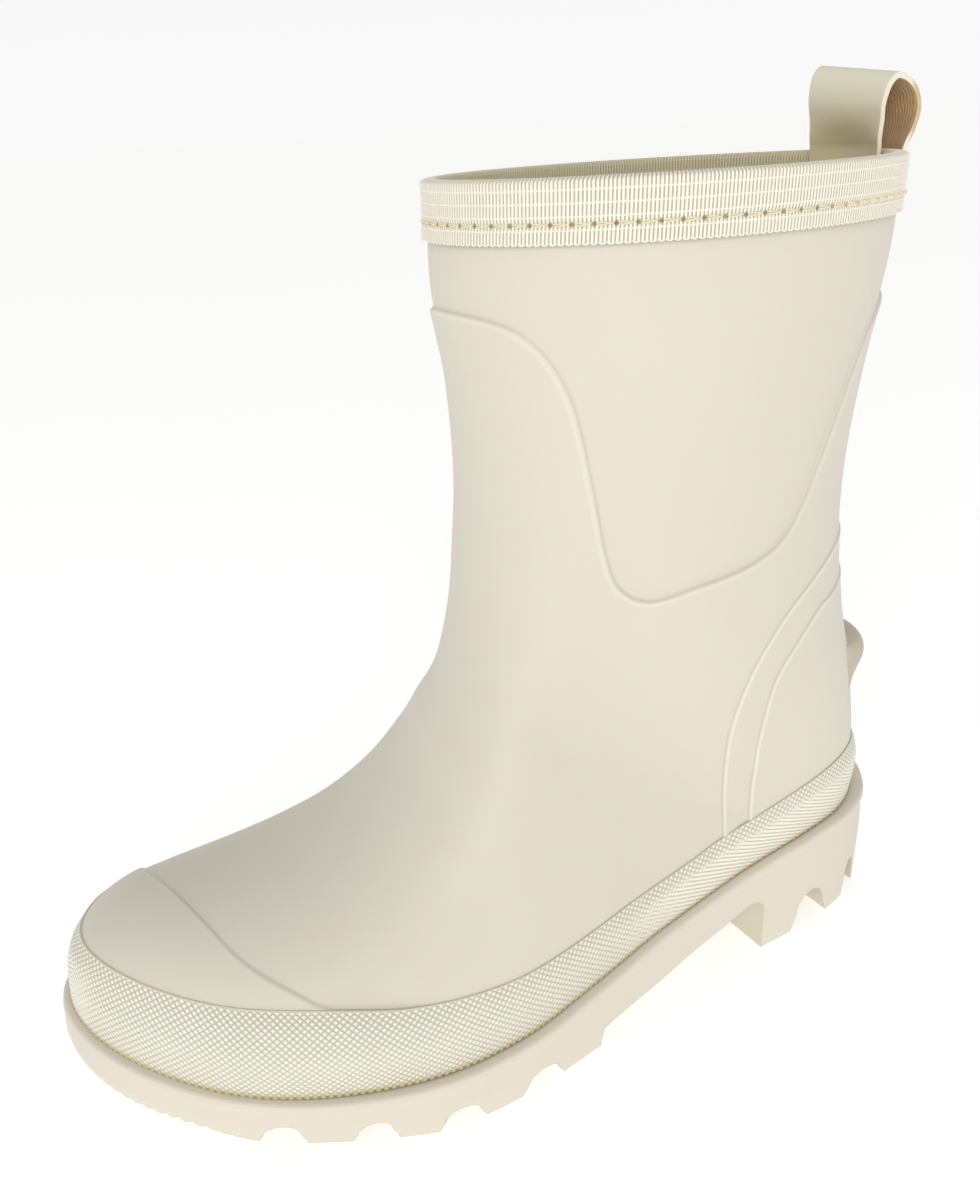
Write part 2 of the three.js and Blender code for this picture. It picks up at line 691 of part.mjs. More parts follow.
function lipPoint(turn, inset) {
  const at = (t) => {
    const angle = t <= Math.PI ? t : 2 * Math.PI - t;
    const x = (SOLE_LENGTH * (1 - Math.cos(angle))) / 2;
    return new THREE.Vector2(x, t <= Math.PI ? outerHalf(angle) : -innerHalf(angle));
  };
  const step = 0.01;
  const before = at((turn - step + 2 * Math.PI) % (2 * Math.PI));
  const after = at((turn + step) % (2 * Math.PI));
  const inward = new THREE.Vector2(after.y - before.y, before.x - after.x).normalize();
  return at(turn).addScaledVector(inward, inset);
}

const TURNS = 60;
const turnAt = (i, count = TURNS) => (2 * Math.PI * (i + 0.5)) / count;

// Outsole

// A band of rings stacked from the top down, closed by strips across the foot at both ends.
function stackedSole(levels) {
  const vertices = [];
  levels.forEach(({ inset, height }) => {
    for (let i = 0; i < TURNS; i += 1) {
      const point = lipPoint(turnAt(i), inset(lipPoint(turnAt(i), 0).x));
      vertices.push(new THREE.Vector3(point.x, point.y, height(point.x)));
    }
  });
  const triangles = [];
  for (let level = 0; level < levels.length - 1; level += 1) {
    const here = level * TURNS;
    const next = here + TURNS;
    for (let i = 0; i < TURNS; i += 1) {
      const k = (i + 1) % TURNS;
      triangles.push([here + i, here + k, next + k], [here + i, next + k, next + i]);
    }
  }
  const last = (levels.length - 1) * TURNS;
  for (let i = 0; i < TURNS / 2 - 1; i += 1) {
    const other = TURNS - 1 - i;
    triangles.push([i, other, other - 1], [i, other - 1, i + 1]);
    triangles.push([last + i, last + other - 1, last + other], [last + i, last + i + 1, last + other - 1]);
  }
  return solidFrom(vertices, triangles);
}

// A notch with an arched top, cut across the whole sole at the sides only.
function notch({ from, to, lug }) {
  const left = from * SOLE_LENGTH;
  const right = to * SOLE_LENGTH;
  const middle = (left + right) / 2;
  const base = soleBottom(middle);
  const draft = 0.13 * (right - left);
  const points = [
    { x: left - draft / 2, z: base - lug },
    { x: left, z: base },
  ];
  const steps = 6;
  for (let i = 0; i <= steps; i += 1) {
    const angle = Math.PI * (1 - i / steps);
    const half = (right - left) / 2 - draft;
    points.push({
      x: middle + half * Math.cos(angle),
      z: base + lug * (0.45 + 0.55 * Math.sin(angle)),
    });
  }
  points.push({ x: right, z: base }, { x: right + draft / 2, z: base - lug });
  return acrossBoot(points);
}

// The sole's plan, narrowed by an inset on each side and as much shorter at each end.
function insetPlan(inset) {
  const outerSide = [];
  const innerSide = [];
  const steps = 16;
  for (let i = 0; i <= steps; i += 1) {
    const x = mix(inset, SOLE_LENGTH - inset, i / steps);
    const angle = Math.acos(1 - (2 * x) / SOLE_LENGTH);
    innerSide.push({ x, y: inset - innerHalf(angle) });
    outerSide.unshift({ x, y: outerHalf(angle) - inset });
  }
  return upwards([...innerSide, ...outerSide], FAR_BELOW, COLLAR_HEIGHT);
}

// Everything between two places along the foot.
function lengthwise(from, to) {
  return acrossBoot([
    { x: from, z: FAR_BELOW },
    { x: to, z: FAR_BELOW },
    { x: to, z: COLLAR_HEIGHT },
    { x: from, z: COLLAR_HEIGHT },
  ]);
}

function pocket({ from, to, depth, bars }) {
  const plan = insetPlan(LUG_DEPTH).intersect(lengthwise(from * SOLE_LENGTH, to * SOLE_LENGTH));
  const room = plan.intersect(below(soleBottom, depth));
  const ribs = bars.map((at) => {
    const start = at * SOLE_LENGTH - BAR_LENGTH / 2;
    return insetPlan(LUG_DEPTH + BAR_GAP).intersect(lengthwise(start, start + BAR_LENGTH));
  });
  return room.subtract(union(ribs));
}

// The part of the sole that lies within a lug's depth of its side.
function sideOfSole() {
  return lengthwise(-SOLE_LENGTH, 2 * SOLE_LENGTH).subtract(insetPlan(LUG_DEPTH));
}

// 1 at the tip of the toe, 0 behind the toes.
const toeShare = (x) => smoothstep(clamp((x / SOLE_LENGTH - 0.86) / 0.12, 0, 1));

function outsole() {
  const lip = (x) => soleTop(x);
  const levels = [
    { inset: () => LIP_ROUND, height: lip },
    { inset: () => 0, height: (x) => lip(x) - LIP_ROUND },
    { inset: () => 0, height: (x) => lip(x) - 2 * LIP_ROUND },
    { inset: (x) => mix(SIDE_DRAFT / 2, -TOE_BUMPER, toeShare(x)), height: (x) => mix(lip(x), soleBottom(x), 0.4) },
    { inset: (x) => mix(SIDE_DRAFT, SIDE_DRAFT - TOE_BUMPER, toeShare(x)), height: soleBottom },
  ];
  const notches = union(NOTCHES.map(notch)).intersect(sideOfSole());
  const arch = acrossBoot(ARCH.map((row) => ({ x: along(row), z: row.height * BREAST_HEIGHT })));
  const cuts = union([notches, arch, ...POCKETS.map(pocket)]);
  return stackedSole(levels).subtract(cuts);
}

// Foxing, the rand that wraps the foot above the outsole

// 1 over the counter, 0 in front of it.
const heelShare = (x) => smoothstep(clamp((0.32 - x / SOLE_LENGTH) / 0.07, 0, 1));

// 1 over the toe cap, 0 behind it.
const capShare = (x) => smoothstep(clamp((x / SOLE_LENGTH - 0.68) / 0.06, 0, 1));

function foxing() {
  const rings = [];
  for (let i = 0; i < TURNS; i += 1) {
    const turn = turnAt(i);
    const lip = lipPoint(turn, 0);
    const foot = lipPoint(turn, foxingMargin(lip.x));
    const deep = lipPoint(turn, upperMargin(lip.x) + WALL);
    const inward = deep.clone().sub(foot).normalize();
    const base = soleTop(foot.x) + CLEARANCE;
    const top = soleTop(foot.x) + foxingHeight(foot.x);
    const sideAt = (z, offset) => {
      let near = -LIP_MARGIN;
      let far = 3 * LIP_MARGIN;
      for (let k = 0; k < 24; k += 1) {
        const middle = (near + far) / 2;
        const point = foot.clone().addScaledVector(inward, middle);
        if (form(point.x, point.y, z) > 0) near = middle;
        else far = middle;
      }
      const point = foot.clone().addScaledVector(inward, (near + far) / 2);
      const normal = normalAt(point.x, point.y, z);
      const level = new THREE.Vector2(normal.x, normal.y);
      const slope = Math.max(level.length(), 0.5);
      point.addScaledVector(level.normalize(), offset / slope);
      return new THREE.Vector3(point.x, point.y, z);
    };
    const counters = COUNTER_STEP * COUNTER_EDGES.length * heelShare(foot.x);
    const layers = counters + TOE_CAP_STEP * capShare(foot.x);
    const thickness = OVERLAY_FACE + layers + CLEARANCE + FOXING_THICKNESS;
    const half = mix(base, top, 0.5);
    const bulge = sideAt(half, thickness + 0.1);
    rings.push([
      new THREE.Vector3(foot.x, foot.y, base),
      new THREE.Vector3(mix(foot.x, bulge.x, 0.8), mix(foot.y, bulge.y, 0.8), half),
      sideAt(mix(base, top, 0.8), thickness),
      sideAt(top, thickness - 0.7),
      sideAt(top + 0.3, LINING_FACE),
      new THREE.Vector3(deep.x, deep.y, base),
    ]);
  }
  return loft(rings.reverse(), null).subtract(upperOutside(CLEARANCE));
}

// Insole

function insole() {
  const plan = [];
  for (let i = 0; i < TURNS; i += 1) plan.push(lipPoint(turnAt(i), LIP_MARGIN));
  const slab = upwards(plan.reverse(), 0, COLLAR_HEIGHT);
  const plate = slab.intersect(below(soleTop, CLEARANCE + INSOLE_THICKNESS));
  return plate.subtract(below(soleTop, CLEARANCE)).intersect(skin(LINING_FACE - CLEARANCE, COARSE));
}

// Binding folded over the rim

function collarBinding() {
  const outside = SHAFT_FACE + CLEARANCE;
  const inside = LINING_FACE - CLEARANCE;
  const tape = skin(outside + BINDING_THICKNESS, FINE).subtract(skin(inside - BINDING_THICKNESS, COARSE));
  const rim = skin(outside, FINE).subtract(skin(inside, COARSE)).subtract(above(RIM + CLEARANCE));
  return tape
    .subtract(rim)
    .subtract(above(COLLAR_HEIGHT))
    .intersect(above(COLLAR_HEIGHT - BINDING_HEIGHT));
}

// Pull loop at the back, with one leg on each side of the rim

const LOOP_FREE = 0.5; // share of LOOP_RISE above which the strap no longer curves with the collar

// A row of places across the strap, laid on the straight line that runs through their middle.
function straightened(places, j) {
  const last = places.length - 1;
  const mean = places.reduce((total, place) => total + place, 0) / places.length;
  return mean + (places[last] - places[0]) * (j / last - 0.5);
}

function pullLoop() {
  const binding = CLEARANCE + BINDING_THICKNESS + STRAP_CLEARANCE;
  const outerFace = SHAFT_FACE + binding;
  const innerFace = LINING_FACE - binding;
  const middleOf = (face, sign) => face + (sign * STRAP_THICKNESS) / 2;
  const legs = { outer: middleOf(outerFace, 1), inner: middleOf(innerFace, -1) };
  const columns = 4;
  const tuck = COLLAR_HEIGHT - STRAP_TUCK;
  const hold = mix(tuck, COLLAR_HEIGHT, 0.6);
  const places = [];
  for (let j = 0; j <= columns; j += 1) {
    places.push(STRAP_SHIFT + mix(-STRAP_WIDTH / 2, STRAP_WIDTH / 2, j / columns));
  }
  const atRim = (leg) => places.map((y) => backFace(y, COLLAR_HEIGHT, leg));
  const rims = { outer: atRim(legs.outer), inner: atRim(legs.inner) };
  const rows = places.map((y, j) => {
    const path = [];
    path.push(new THREE.Vector2(backFace(y, tuck, legs.outer), tuck));
    path.push(new THREE.Vector2(backFace(y, hold, legs.outer), hold));
    LOOP.forEach((row) => {
      const free = smoothstep(clamp(row.rise / LOOP_FREE, 0, 1));
      const round = mix(rims.outer[j], rims.inner[j], row.over);
      const straight = mix(straightened(rims.outer, j), straightened(rims.inner, j), row.over);
      const away = row.over < 0.5 ? -row.bow : row.bow;
      const x = mix(round, straight, free) + away * LOOP_BULGE;
      path.push(new THREE.Vector2(x, COLLAR_HEIGHT + row.rise * LOOP_RISE));
    });
    path.push(new THREE.Vector2(backFace(y, hold, legs.inner), hold));
    path.push(new THREE.Vector2(backFace(y, tuck, legs.inner), tuck));
    return { y, points: new THREE.SplineCurve(path).getPoints(22) };
  });
  const side = (row, sign) =>
    row.points.map((point, i) => {
      const before = row.points[Math.max(i - 1, 0)];
      const after = row.points[Math.min(i + 1, row.points.length - 1)];
      const travel = after.clone().sub(before).normalize();
      const out = new THREE.Vector2(-travel.y, travel.x).multiplyScalar((sign * STRAP_THICKNESS) / 2);
      return new THREE.Vector3(point.x + out.x, row.y, point.y + out.y);
    });
  const count = rows[0].points.length;
  const rings = [];
  for (let i = 0; i < count; i += 1) {
    const ring = rows.map((row) => side(row, -1)[i]);
    rows.forEach((row) => ring.splice(rows.length, 0, side(row, 1)[i]));
    rings.push(ring);
  }
  return band(rings);
}

// Rings of a flat band, closed by a strip at each end.
function band(rings) {
  const around = rings[0].length;
  const vertices = rings.flat();
  const triangles = [];
  for (let i = 0; i < rings.length - 1; i += 1) {
    const here = i * around;
    const next = here + around;
    for (let j = 0; j < around; j += 1) {
      const k = (j + 1) % around;
      triangles.push([here + j, here + k, next + k], [here + j, next + k, next + j]);
    }
  }
  const last = (rings.length - 1) * around;
  for (let j = 0; j < around / 2 - 1; j += 1) {
    const other = around - 1 - j;
    triangles.push([j, other, other - 1], [j, other - 1, j + 1]);
    triangles.push([last + j, last + other - 1, last + other], [last + j, last + j + 1, last + other - 1]);
  }
  return solidFrom(vertices, triangles);
}

// Assembly, with the origin under the middle of its box

const boot = new THREE.Group();
boot.add(meshOf('outsole', outsole(), CREAM_SOLE, 0.55));
boot.add(meshOf('upper', upper(), CREAM_UPPER, 0.45));
boot.add(meshOf('foxing', foxing(), CREAM_UPPER, 0.6));
boot.add(meshOf('insole', insole(), CREAM_TAPE, 0.9));
boot.add(meshOf('collar_binding', collarBinding(), CREAM_TAPE, 0.9));
boot.add(meshOf('pull_loop', pullLoop(), STRAP_CREAM, 0.6));

const box = new THREE.Box3().setFromObject(boot);
const middle = box.getCenter(new THREE.Vector3());
boot.position.set(-middle.x, -middle.y, -box.min.z);

export default boot;
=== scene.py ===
"""Looks of a child's rubber boot for the left foot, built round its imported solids.

Lengths are millimetres in the boot's own frame until they become meshes: +X towards the toe from
the back of the outsole's lip, +Y towards the outer side, +Z up, floor at z = 0.
"""

import math

import bmesh
import bpy
import numpy as np
from mathutils import Matrix, Vector

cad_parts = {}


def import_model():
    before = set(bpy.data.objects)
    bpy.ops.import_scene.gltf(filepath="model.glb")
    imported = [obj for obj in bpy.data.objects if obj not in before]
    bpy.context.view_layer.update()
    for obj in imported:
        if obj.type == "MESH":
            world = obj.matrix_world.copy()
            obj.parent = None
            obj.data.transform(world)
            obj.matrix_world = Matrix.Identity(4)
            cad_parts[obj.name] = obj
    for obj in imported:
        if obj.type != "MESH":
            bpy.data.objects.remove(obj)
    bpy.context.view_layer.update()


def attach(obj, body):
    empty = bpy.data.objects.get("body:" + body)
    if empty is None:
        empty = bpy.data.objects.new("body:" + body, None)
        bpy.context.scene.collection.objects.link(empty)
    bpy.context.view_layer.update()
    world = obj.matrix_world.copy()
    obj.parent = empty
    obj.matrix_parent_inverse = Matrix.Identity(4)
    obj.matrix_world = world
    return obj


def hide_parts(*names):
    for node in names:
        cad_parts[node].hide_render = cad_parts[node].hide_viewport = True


MM = 0.001
BOX_MIDDLE = np.array([103.147, 1.379, 0.0])  # middle of the boot's box in the boot's own frame

# Driving dimensions, as in the part's source
SOLE_LENGTH = 205.0
BALL_WIDTH = 83.0
COLLAR_HEIGHT = 180.6
COLLAR_LENGTH = 105.5
COLLAR_WIDTH = 82.1
ANKLE_HEIGHT = 104.0
ANKLE_LENGTH = 89.9
ANKLE_WIDTH = 70.3
INSTEP_HEIGHT = 104.0
HEEL_SEAT = 26.0
BREAST_HEIGHT = 14.8
TOE_SPRING = 11.0
CLEARANCE = 0.3
WALL = 1.6
OVERLAY_STEP = 0.9
TOE_CAP_STEP = 0.6
COUNTER_STEP = 0.4
LIP_MARGIN = 4.8
SIDE_HEIGHT = 6.0
INSTEP_BLEND = 14.0
HEEL_BLEND = 2.0
BLEND_RISE = 30.0
FOXING_THICKNESS = 1.5
FOXING_HEIGHT = 18.0
FOXING_EDGE = 0.28  # thickness left at the foxing's feathered top edge
TOE_SLIMNESS = 1.3  # how much less the foxing stands out round the toe
SIDE_DRAFT = 1.5
TOE_BUMPER = 1.3
TOE_FLARE = 0.9  # how far the lip runs out round the toe
LUG_DEPTH = 14.0
LUG_HEIGHT = 5.0
HEEL_LUG_HEIGHT = 9.4
BAR_LENGTH = 7.0
BINDING_THICKNESS = 0.9
BINDING_HEIGHT = 11.3
STRAP_WIDTH = 24.0
STRAP_SHIFT = 2.6
STRAP_THICKNESS = 1.4
STRAP_CLEARANCE = 0.4
LOOP_RISE = 16.5
LOOP_BULGE = 2.6
LOOP_FREE = 0.5
STRAP_TUCK = 9.0
SPUR_REACH = 6.8
SPUR_WIDTH = 42.0
SPUR_TOP = 69.8
SPUR_HEIGHT = 12.5
FLOOR_DROP = 20.0  # how far the form reaches below the top of the outsole

FOOT = (SOLE_LENGTH, BALL_WIDTH)
ANKLE = (ANKLE_LENGTH, ANKLE_WIDTH)
COLLAR = (COLLAR_LENGTH, COLLAR_WIDTH)

RIM = COLLAR_HEIGHT - BINDING_THICKNESS - CLEARANCE
SHAFT_FACE = -OVERLAY_STEP / 2
OVERLAY_FACE = OVERLAY_STEP / 2
LINING_FACE = SHAFT_FACE - WALL
TOE_CAP_FOOT = 1.12 * HEEL_SEAT

# Finish of the surfaces
STRAP_LEAN = 1.3  # how far the loop's inner edge stands higher and its outer edge lower
STRAP_TWIST = 1.1  # how far the loop's inner edge is pushed forward
EDGE_SOFT = 0.65  # width of a moulded step's slope
EDGE_LINE = 0.2  # half width of the fine line at a step's foot
KNURL_PITCH = 1.55  # foxing diamonds, along a row
KNURL_ROW = 0.66  # from row to row
KNURL_DEPTH = 0.27  # of the diamonds and of the ribs
RIB_SLANT = math.radians(24)  # of the ribs that take over at the heel and at the tip of the toe
SLANT_PITCH = 0.9  # from rib to rib
RIB_PITCH = 0.75  # cords of the woven tape
RIB_DEPTH = 0.14
TAPE_ROW = 2.3  # height of a woven block
STITCH_PITCH = 4.0
STITCH_DROP = 8.0  # stitch row below the collar's top
TOOTH_PITCH = 2.7  # fine teeth under the toe
TOOTH_DEPTH = 0.9
STITCH_CHANGE = 52.0  # from the back of the lip, where the strands grow stout and hide their holes
STITCH_FADE = 20.0  # length over which they do
EDGE_CHANGE = 4.65  # from the back of the lip, where the strap's cut edge turns from golden to pale
EDGE_FADE = 1.5
EDGE_SWELL = 0.12  # how far the strap's cut edge stands out in its middle
EDGE_THICKNESS = 0.78  # share of the strap's thickness left at its cut edge
STRAP_HOLD = 0.6  # share of the tucked length over which each leg stays against the tape
STITCH_PLACES = 24  # places along the tape for each stitch
STITCH_REACH = (2, 22)  # the places at its two ends
STRAND_SINK = 0.4  # how deep a strand sits at its needle holes
STRAND_RISE = 0.5  # how far it rises between them
STRAND_DRIFT = 0.12  # how far it climbs from hole to hole
STRAND_TURN = 0.2  # how far up and down the two strands wind
STRAND_STOUT = 0.55  # how much thicker the strands are at the back
CORD_COLUMNS = 4  # columns of the tape's mesh for each cord
NOTCH_DRAFT = 0.13  # share of a notch's width by which its legs lean out
NOTCH_STRAIGHT = 0.45  # share of its height under the round top
SHARP_ANGLE = math.radians(28)
FOOT_EDGE = 0.85  # share of the toe's wall where its foot starts to turn in
FOOT_ROUND = 0.9  # how far it turns in
TOOTH_START = 0.55  # share of the wall's height where the teeth start
TOOTH_FADE = 0.3
STRAND_RADIUS = 0.19
STRAND_SWING = 0.16  # of the two strands round each other
SEAM_DEPTH = 0.3  # how far the stitches pull the tape in
SEAM_WIDTH = 0.7
PICOT = 0.35  # loops along the tape's lower edge
TAPE_ROUND = 0.8  # height of the fold over the rim
RIDGE_PLACE = 0.8  # of the faint ridge along a moulded step, from its middle
RIDGE_WIDTH = 0.45
COUNTER_TUCK = 10.0  # how far the counters run on behind the foxing
INNER_TAPE = BINDING_HEIGHT + 3.5  # along the tape, where it starts down the inside and turns to a painted shade

# Lip of the outsole. at: share of SOLE_LENGTH; outer, inner: shares of BALL_WIDTH from the axis.
# columns: at, outer, inner
OUTLINE = [
    (0, 0, 0),
    (0.02, 0.133, 0.133),
    (0.05, 0.219, 0.224),
    (0.1, 0.294, 0.299),
    (0.18, 0.345, 0.34),
    (0.3, 0.381, 0.333),
    (0.4, 0.419, 0.32),
    (0.5, 0.477, 0.349),
    (0.6, 0.53, 0.417),
    (0.68, 0.537, 0.47),
    (0.76, 0.501, 0.499),
    (0.82, 0.451, 0.492),
    (0.88, 0.376, 0.458),
    (0.94, 0.253, 0.378),
    (0.98, 0.116, 0.258),
    (1, -0.084, 0.084),
]

# Top of the outsole. height: share of HEEL_SEAT.
# columns: at, height
SOLE_TOP = [
    (0, 1),
    (0.22, 0.962),
    (0.4, 0.75),
    (0.6, 0.523),
    (0.76, 0.508),
    (0.88, 0.615),
    (1, 0.885),
]

# Underside of the lugs. height: share of TOE_SPRING.
# columns: at, height
SOLE_BOTTOM = [
    (0, 0),
    (0.7, 0),
    (0.74, 0.12),
    (0.8, 0.28),
    (0.87, 0.44),
    (0.94, 0.76),
    (1, 1),
]

# Arch between forefoot and heel. height: share of BREAST_HEIGHT.
# columns: at, height
ARCH = [
    (0.502, -0.2),
    (0.497, 0.23),
    (0.486, 0.34),
    (0.414, 0.49),
    (0.348, 0.73),
    (0.298, 0.9),
    (0.272, 1),
    (0.256, 0.96),
    (0.249, 0.82),
    (0.249, -0.2),
]

# Notches between the side lugs. from, to: shares of SOLE_LENGTH; lug: height of its lugs.
# columns: from, to, lug
NOTCHES = [
    (0.063, 0.0985, HEEL_LUG_HEIGHT),
    (0.134, 0.1995, HEEL_LUG_HEIGHT),
    (0.553, 0.608, LUG_HEIGHT),
    (0.65, 0.702, LUG_HEIGHT),
    (0.741, 0.786, LUG_HEIGHT),
    (0.825, 0.869, LUG_HEIGHT),
]

# Lip of the outsole beyond the upper's form and beyond the foxing. Both: shares of LIP_MARGIN.
# columns: at, upper, foxing
MARGIN = [
    (0, 1.48, 0.85),
    (0.12, 1.12, 0.6),
    (0.3, 1, 0.5),
    (0.75, 1, 0.5),
    (0.9, 0.85, 0.32),
    (1, 0.65, 0.16),
]

# Ridge of the foot. height: share of INSTEP_HEIGHT.
# columns: at, height
VAMP = [
    (0, 0.385),
    (0.146, 0.596),
    (0.293, 0.885),
    (0.429, 1),
    (0.488, 0.962),
    (0.537, 0.882),
    (0.576, 0.774),
    (0.62, 0.645),
    (0.673, 0.548),
    (0.732, 0.487),
    (0.795, 0.451),
    (0.859, 0.436),
    (0.917, 0.437),
    (1, 0.419),
]

# Level sections of the shaft. up: see height_at; middle: share of SOLE_LENGTH;
# length, width: shares of that section's own size; power: 2 is an ellipse, more is squarer.
# columns: up, size, middle, length, width, power
SHAFT = [
    (0.096, FOOT, 0.213, 0.35, 0.52, 2.2),
    (0.25, FOOT, 0.2272, 0.38, 0.555, 2.25),
    (0.433, FOOT, 0.2446, 0.404, 0.64, 2.25),
    (0.625, FOOT, 0.269, 0.4137, 0.736, 2.2),
    (0.788, FOOT, 0.293, 0.4259, 0.794, 2.1),
    (1, ANKLE, 0.3063, 1, 1, 2.05),
    (1.183, ANKLE, 0.3039, 1.016, 1.02, 2),
    (1.47, COLLAR, 0.2963, 0.91, 0.915, 2),
    (1.731, COLLAR, 0.29, 0.985, 0.973, 2),
    (2, COLLAR, 0.2837, 0.997, 1, 2),
    (2.25, COLLAR, 0.283, 1.025, 1.025, 2),
]

# Upper edge of the vamp overlay, from the front of the shaft to its back.
# columns: at, up
OVERLAY_EDGE = [
    (0.66, 1.7),
    (0.6, 1.698),
    (0.56, 1.69),
    (0.53, 1.672),
    (0.507, 1.632),
    (0.486, 1.55),
    (0.47, 1.43),
    (0.457, 1.231),
    (0.448, 1.05),
    (0.436, 0.975),
    (0.409, 0.945),
    (0.362, 0.966),
    (0.296, 0.992),
    (0.25, 1.06),
    (0.205, 1.245),
    (0.165, 1.43),
    (0.12, 1.58),
    (0.05, 1.64),
    (-0.1, 1.65),
]

# Front edges of the two counter layers, from the foxing to the back of the heel.
# columns: at, up
COUNTER_EDGES = [
    [
        (0.302, 0.34),
        (0.303, 0.45),
        (0.308, 0.59),
        (0.298, 0.7),
        (0.274, 0.797),
        (0.234, 0.879),
        (0.164, 0.946),
        (0.08, 0.975),
        (-0.1, 0.98),
    ],
    [
        (0.265, 0.34),
        (0.266, 0.45),
        (0.268, 0.584),
        (0.254, 0.721),
        (0.202, 0.826),
        (0.165, 0.848),
        (0.08, 0.87),
        (-0.1, 0.875),
    ],
]

# Edge of the toe cap seen from above. across: share of BALL_WIDTH, outer side positive.
# columns: at, across
TOE_CAP_EDGE = [
    (0.66, -0.62),
    (0.79, -0.5),
    (0.86, -0.41),
    (0.893, -0.29),
    (0.894, -0.17),
    (0.886, -0.06),
    (0.865, 0.125),
    (0.842, 0.253),
    (0.8, 0.36),
    (0.765, 0.418),
    (0.66, 0.6),
]

# Height of the foxing above the outsole. height: share of FOXING_HEIGHT.
# columns: at, height
FOXING_TOP = [
    (0, 0.87),
    (0.09, 0.87),
    (0.26, 0.65),
    (0.35, 0.58),
    (0.5, 0.635),
    (0.68, 0.845),
    (0.8, 0.985),
    (0.9, 0.96),
    (1, 0.86),
]

# Middle of the strap above the binding, from its outer leg over the top to its inner leg.
# bow: shares of LOOP_BULGE away from that leg; rise: share of LOOP_RISE; over: 0 outer leg, 1 inner leg.
# columns: over, bow, rise
LOOP = [
    (0, 0.15, 0.02),
    (0, 0.75, 0.25),
    (0, 1, 0.5),
    (0.02, 0.8, 0.72),
    (0.18, 0.4, 0.88),
    (0.42, 0, 0.955),
    (0.68, 0, 0.94),
    (0.88, 0.15, 0.82),
    (1, 0.3, 0.6),
    (1, 0.3, 0.38),
    (1, 0.15, 0.16),
    (1, 0.02, 0.02),
]

# Section of the kick spur, from its ledge to its underside. out: share of its reach at that place;
# down: share of SPUR_HEIGHT.
# columns: out, down
SPUR_SECTION = [
    (0.12, 0.02),
    (0.48, 0.06),
    (0.82, 0.15),
    (0.98, 0.32),
    (0.93, 0.48),
    (0.6, 0.64),
    (0.28, 0.8),
    (0.08, 0.95),
]

# Rings of the outsole from inside its top over the lip, at the heel.
# columns: in from the lip, down from the top
LIP_RINGS = [
    (5.0, 0.35),
    (3.4, 0.3),
    (2.2, 0.05),
    (1.1, 0.0),
    (0.5, 0.12),
    (0.12, 0.45),
    (0.0, 0.95),
]

# Rings of the step under the lip. columns: in from the lip, down from the top
STEP_RINGS = [
    (0.0, 1.7),
    (0.25, 2.4),
    (0.45, 3.2),
]
STEP_DEPTH = STEP_RINGS[-1][1]

# Rings of the outsole's side, as shares of the way from that step to the floor.
SIDE_RINGS = [0.35, 0.5, 0.65, 0.78, 0.88, 0.95, 1.0]

# Distance from the pivot of the instep's fan to its middle. reach: share of SOLE_LENGTH.
# columns: turn, reach
FAN = [
    (0, 0.515),
    (0.25, 0.54),
    (0.5, 0.5),
    (0.75, 0.44),
    (1, 0.415),
]

# Where things change along the foot. Both: shares of SOLE_LENGTH.
# columns: start, span
FRONT_BLEND = (0.293, 0.244)
COUNTER_CHANGE = (0.32, 0.07)
TOE_CAP_CHANGE = (0.68, 0.06)
SLIM_CHANGE = (0.78, 0.2)
TOE_CHANGE = (0.86, 0.12)
HEEL_RIBS = (0.5, 0.16)
TIP_RIBS = (0.982, 0.016)
HEEL_FADE = (0.035, 0.03)

# Pockets inside the side lugs. columns: from, to, depth, bars across
POCKETS = [
    (0.02, 0.249, HEEL_LUG_HEIGHT, (0.13,)),
    (0.49, 0.93, LUG_HEIGHT, (0.53, 0.629, 0.722, 0.806)),
]


# Curves through the tables


def mix(a, b, t):
    return a + (b - a) * t


def smoothstep(t):
    t = np.clip(t, 0.0, 1.0)
    return t * t * (3 - 2 * t)


def rising(value, start, span):
    return smoothstep((value - start) / span)


def falling(value, start, span):
    return smoothstep((start - value) / span)


def curve(keys, values):
    """A smooth curve through a table, level beyond its end rows."""
    xs = np.array(keys, float)
    ys = np.array(values, float)
    steps = np.diff(xs)
    slopes = np.diff(ys) / steps
    tangents = np.empty(len(xs))
    tangents[0] = slopes[0]
    tangents[-1] = slopes[-1]
    tangents[1:-1] = (slopes[:-1] * steps[1:] + slopes[1:] * steps[:-1]) / (steps[:-1] + steps[1:])

    def value(x):
        at = np.clip(x, xs[0], xs[-1])
        i = np.clip(np.searchsorted(xs, at) - 1, 0, len(xs) - 2)
        t = (at - xs[i]) / steps[i]
        rise = mix(ys[i], ys[i + 1], t * t * (3 - 2 * t))
        lead = tangents[i] * t * (1 - t) * (1 - t)
        trail = tangents[i + 1] * t * t * (t - 1)
        return rise + steps[i] * (lead + trail)

    return value


def hermite(start, end, leaving, arriving, t):
    """A cubic between two points, with its directions at both."""
    cubic = (2 * start - 2 * end + leaving + arriving) * t**3
    return cubic + (-3 * start + 3 * end - 2 * leaving - arriving) * t**2 + leaving * t + start


def lengths_along(points):
    """The length of a line of points up to each of them."""
    return np.concatenate([[0], np.cumsum(np.linalg.norm(np.diff(points, axis=0), axis=1))])


def closed_line(points):
    return np.vstack([points, points[:1]])


def repeated(row, count):
    """The same row of values, count times."""
    return np.repeat(row[None, :], count, axis=0)


def height_at(up):
    """Height from 0 at the floor, 1 at the ankle and 2 at the collar."""
    if up < 1:
        return up * ANKLE_HEIGHT
    return ANKLE_HEIGHT + (up - 1) * (COLLAR_HEIGHT - ANKLE_HEIGHT)


def along_foot(table, column, size):
    return curve([row[0] * SOLE_LENGTH for row in table], [row[column] * size for row in table])


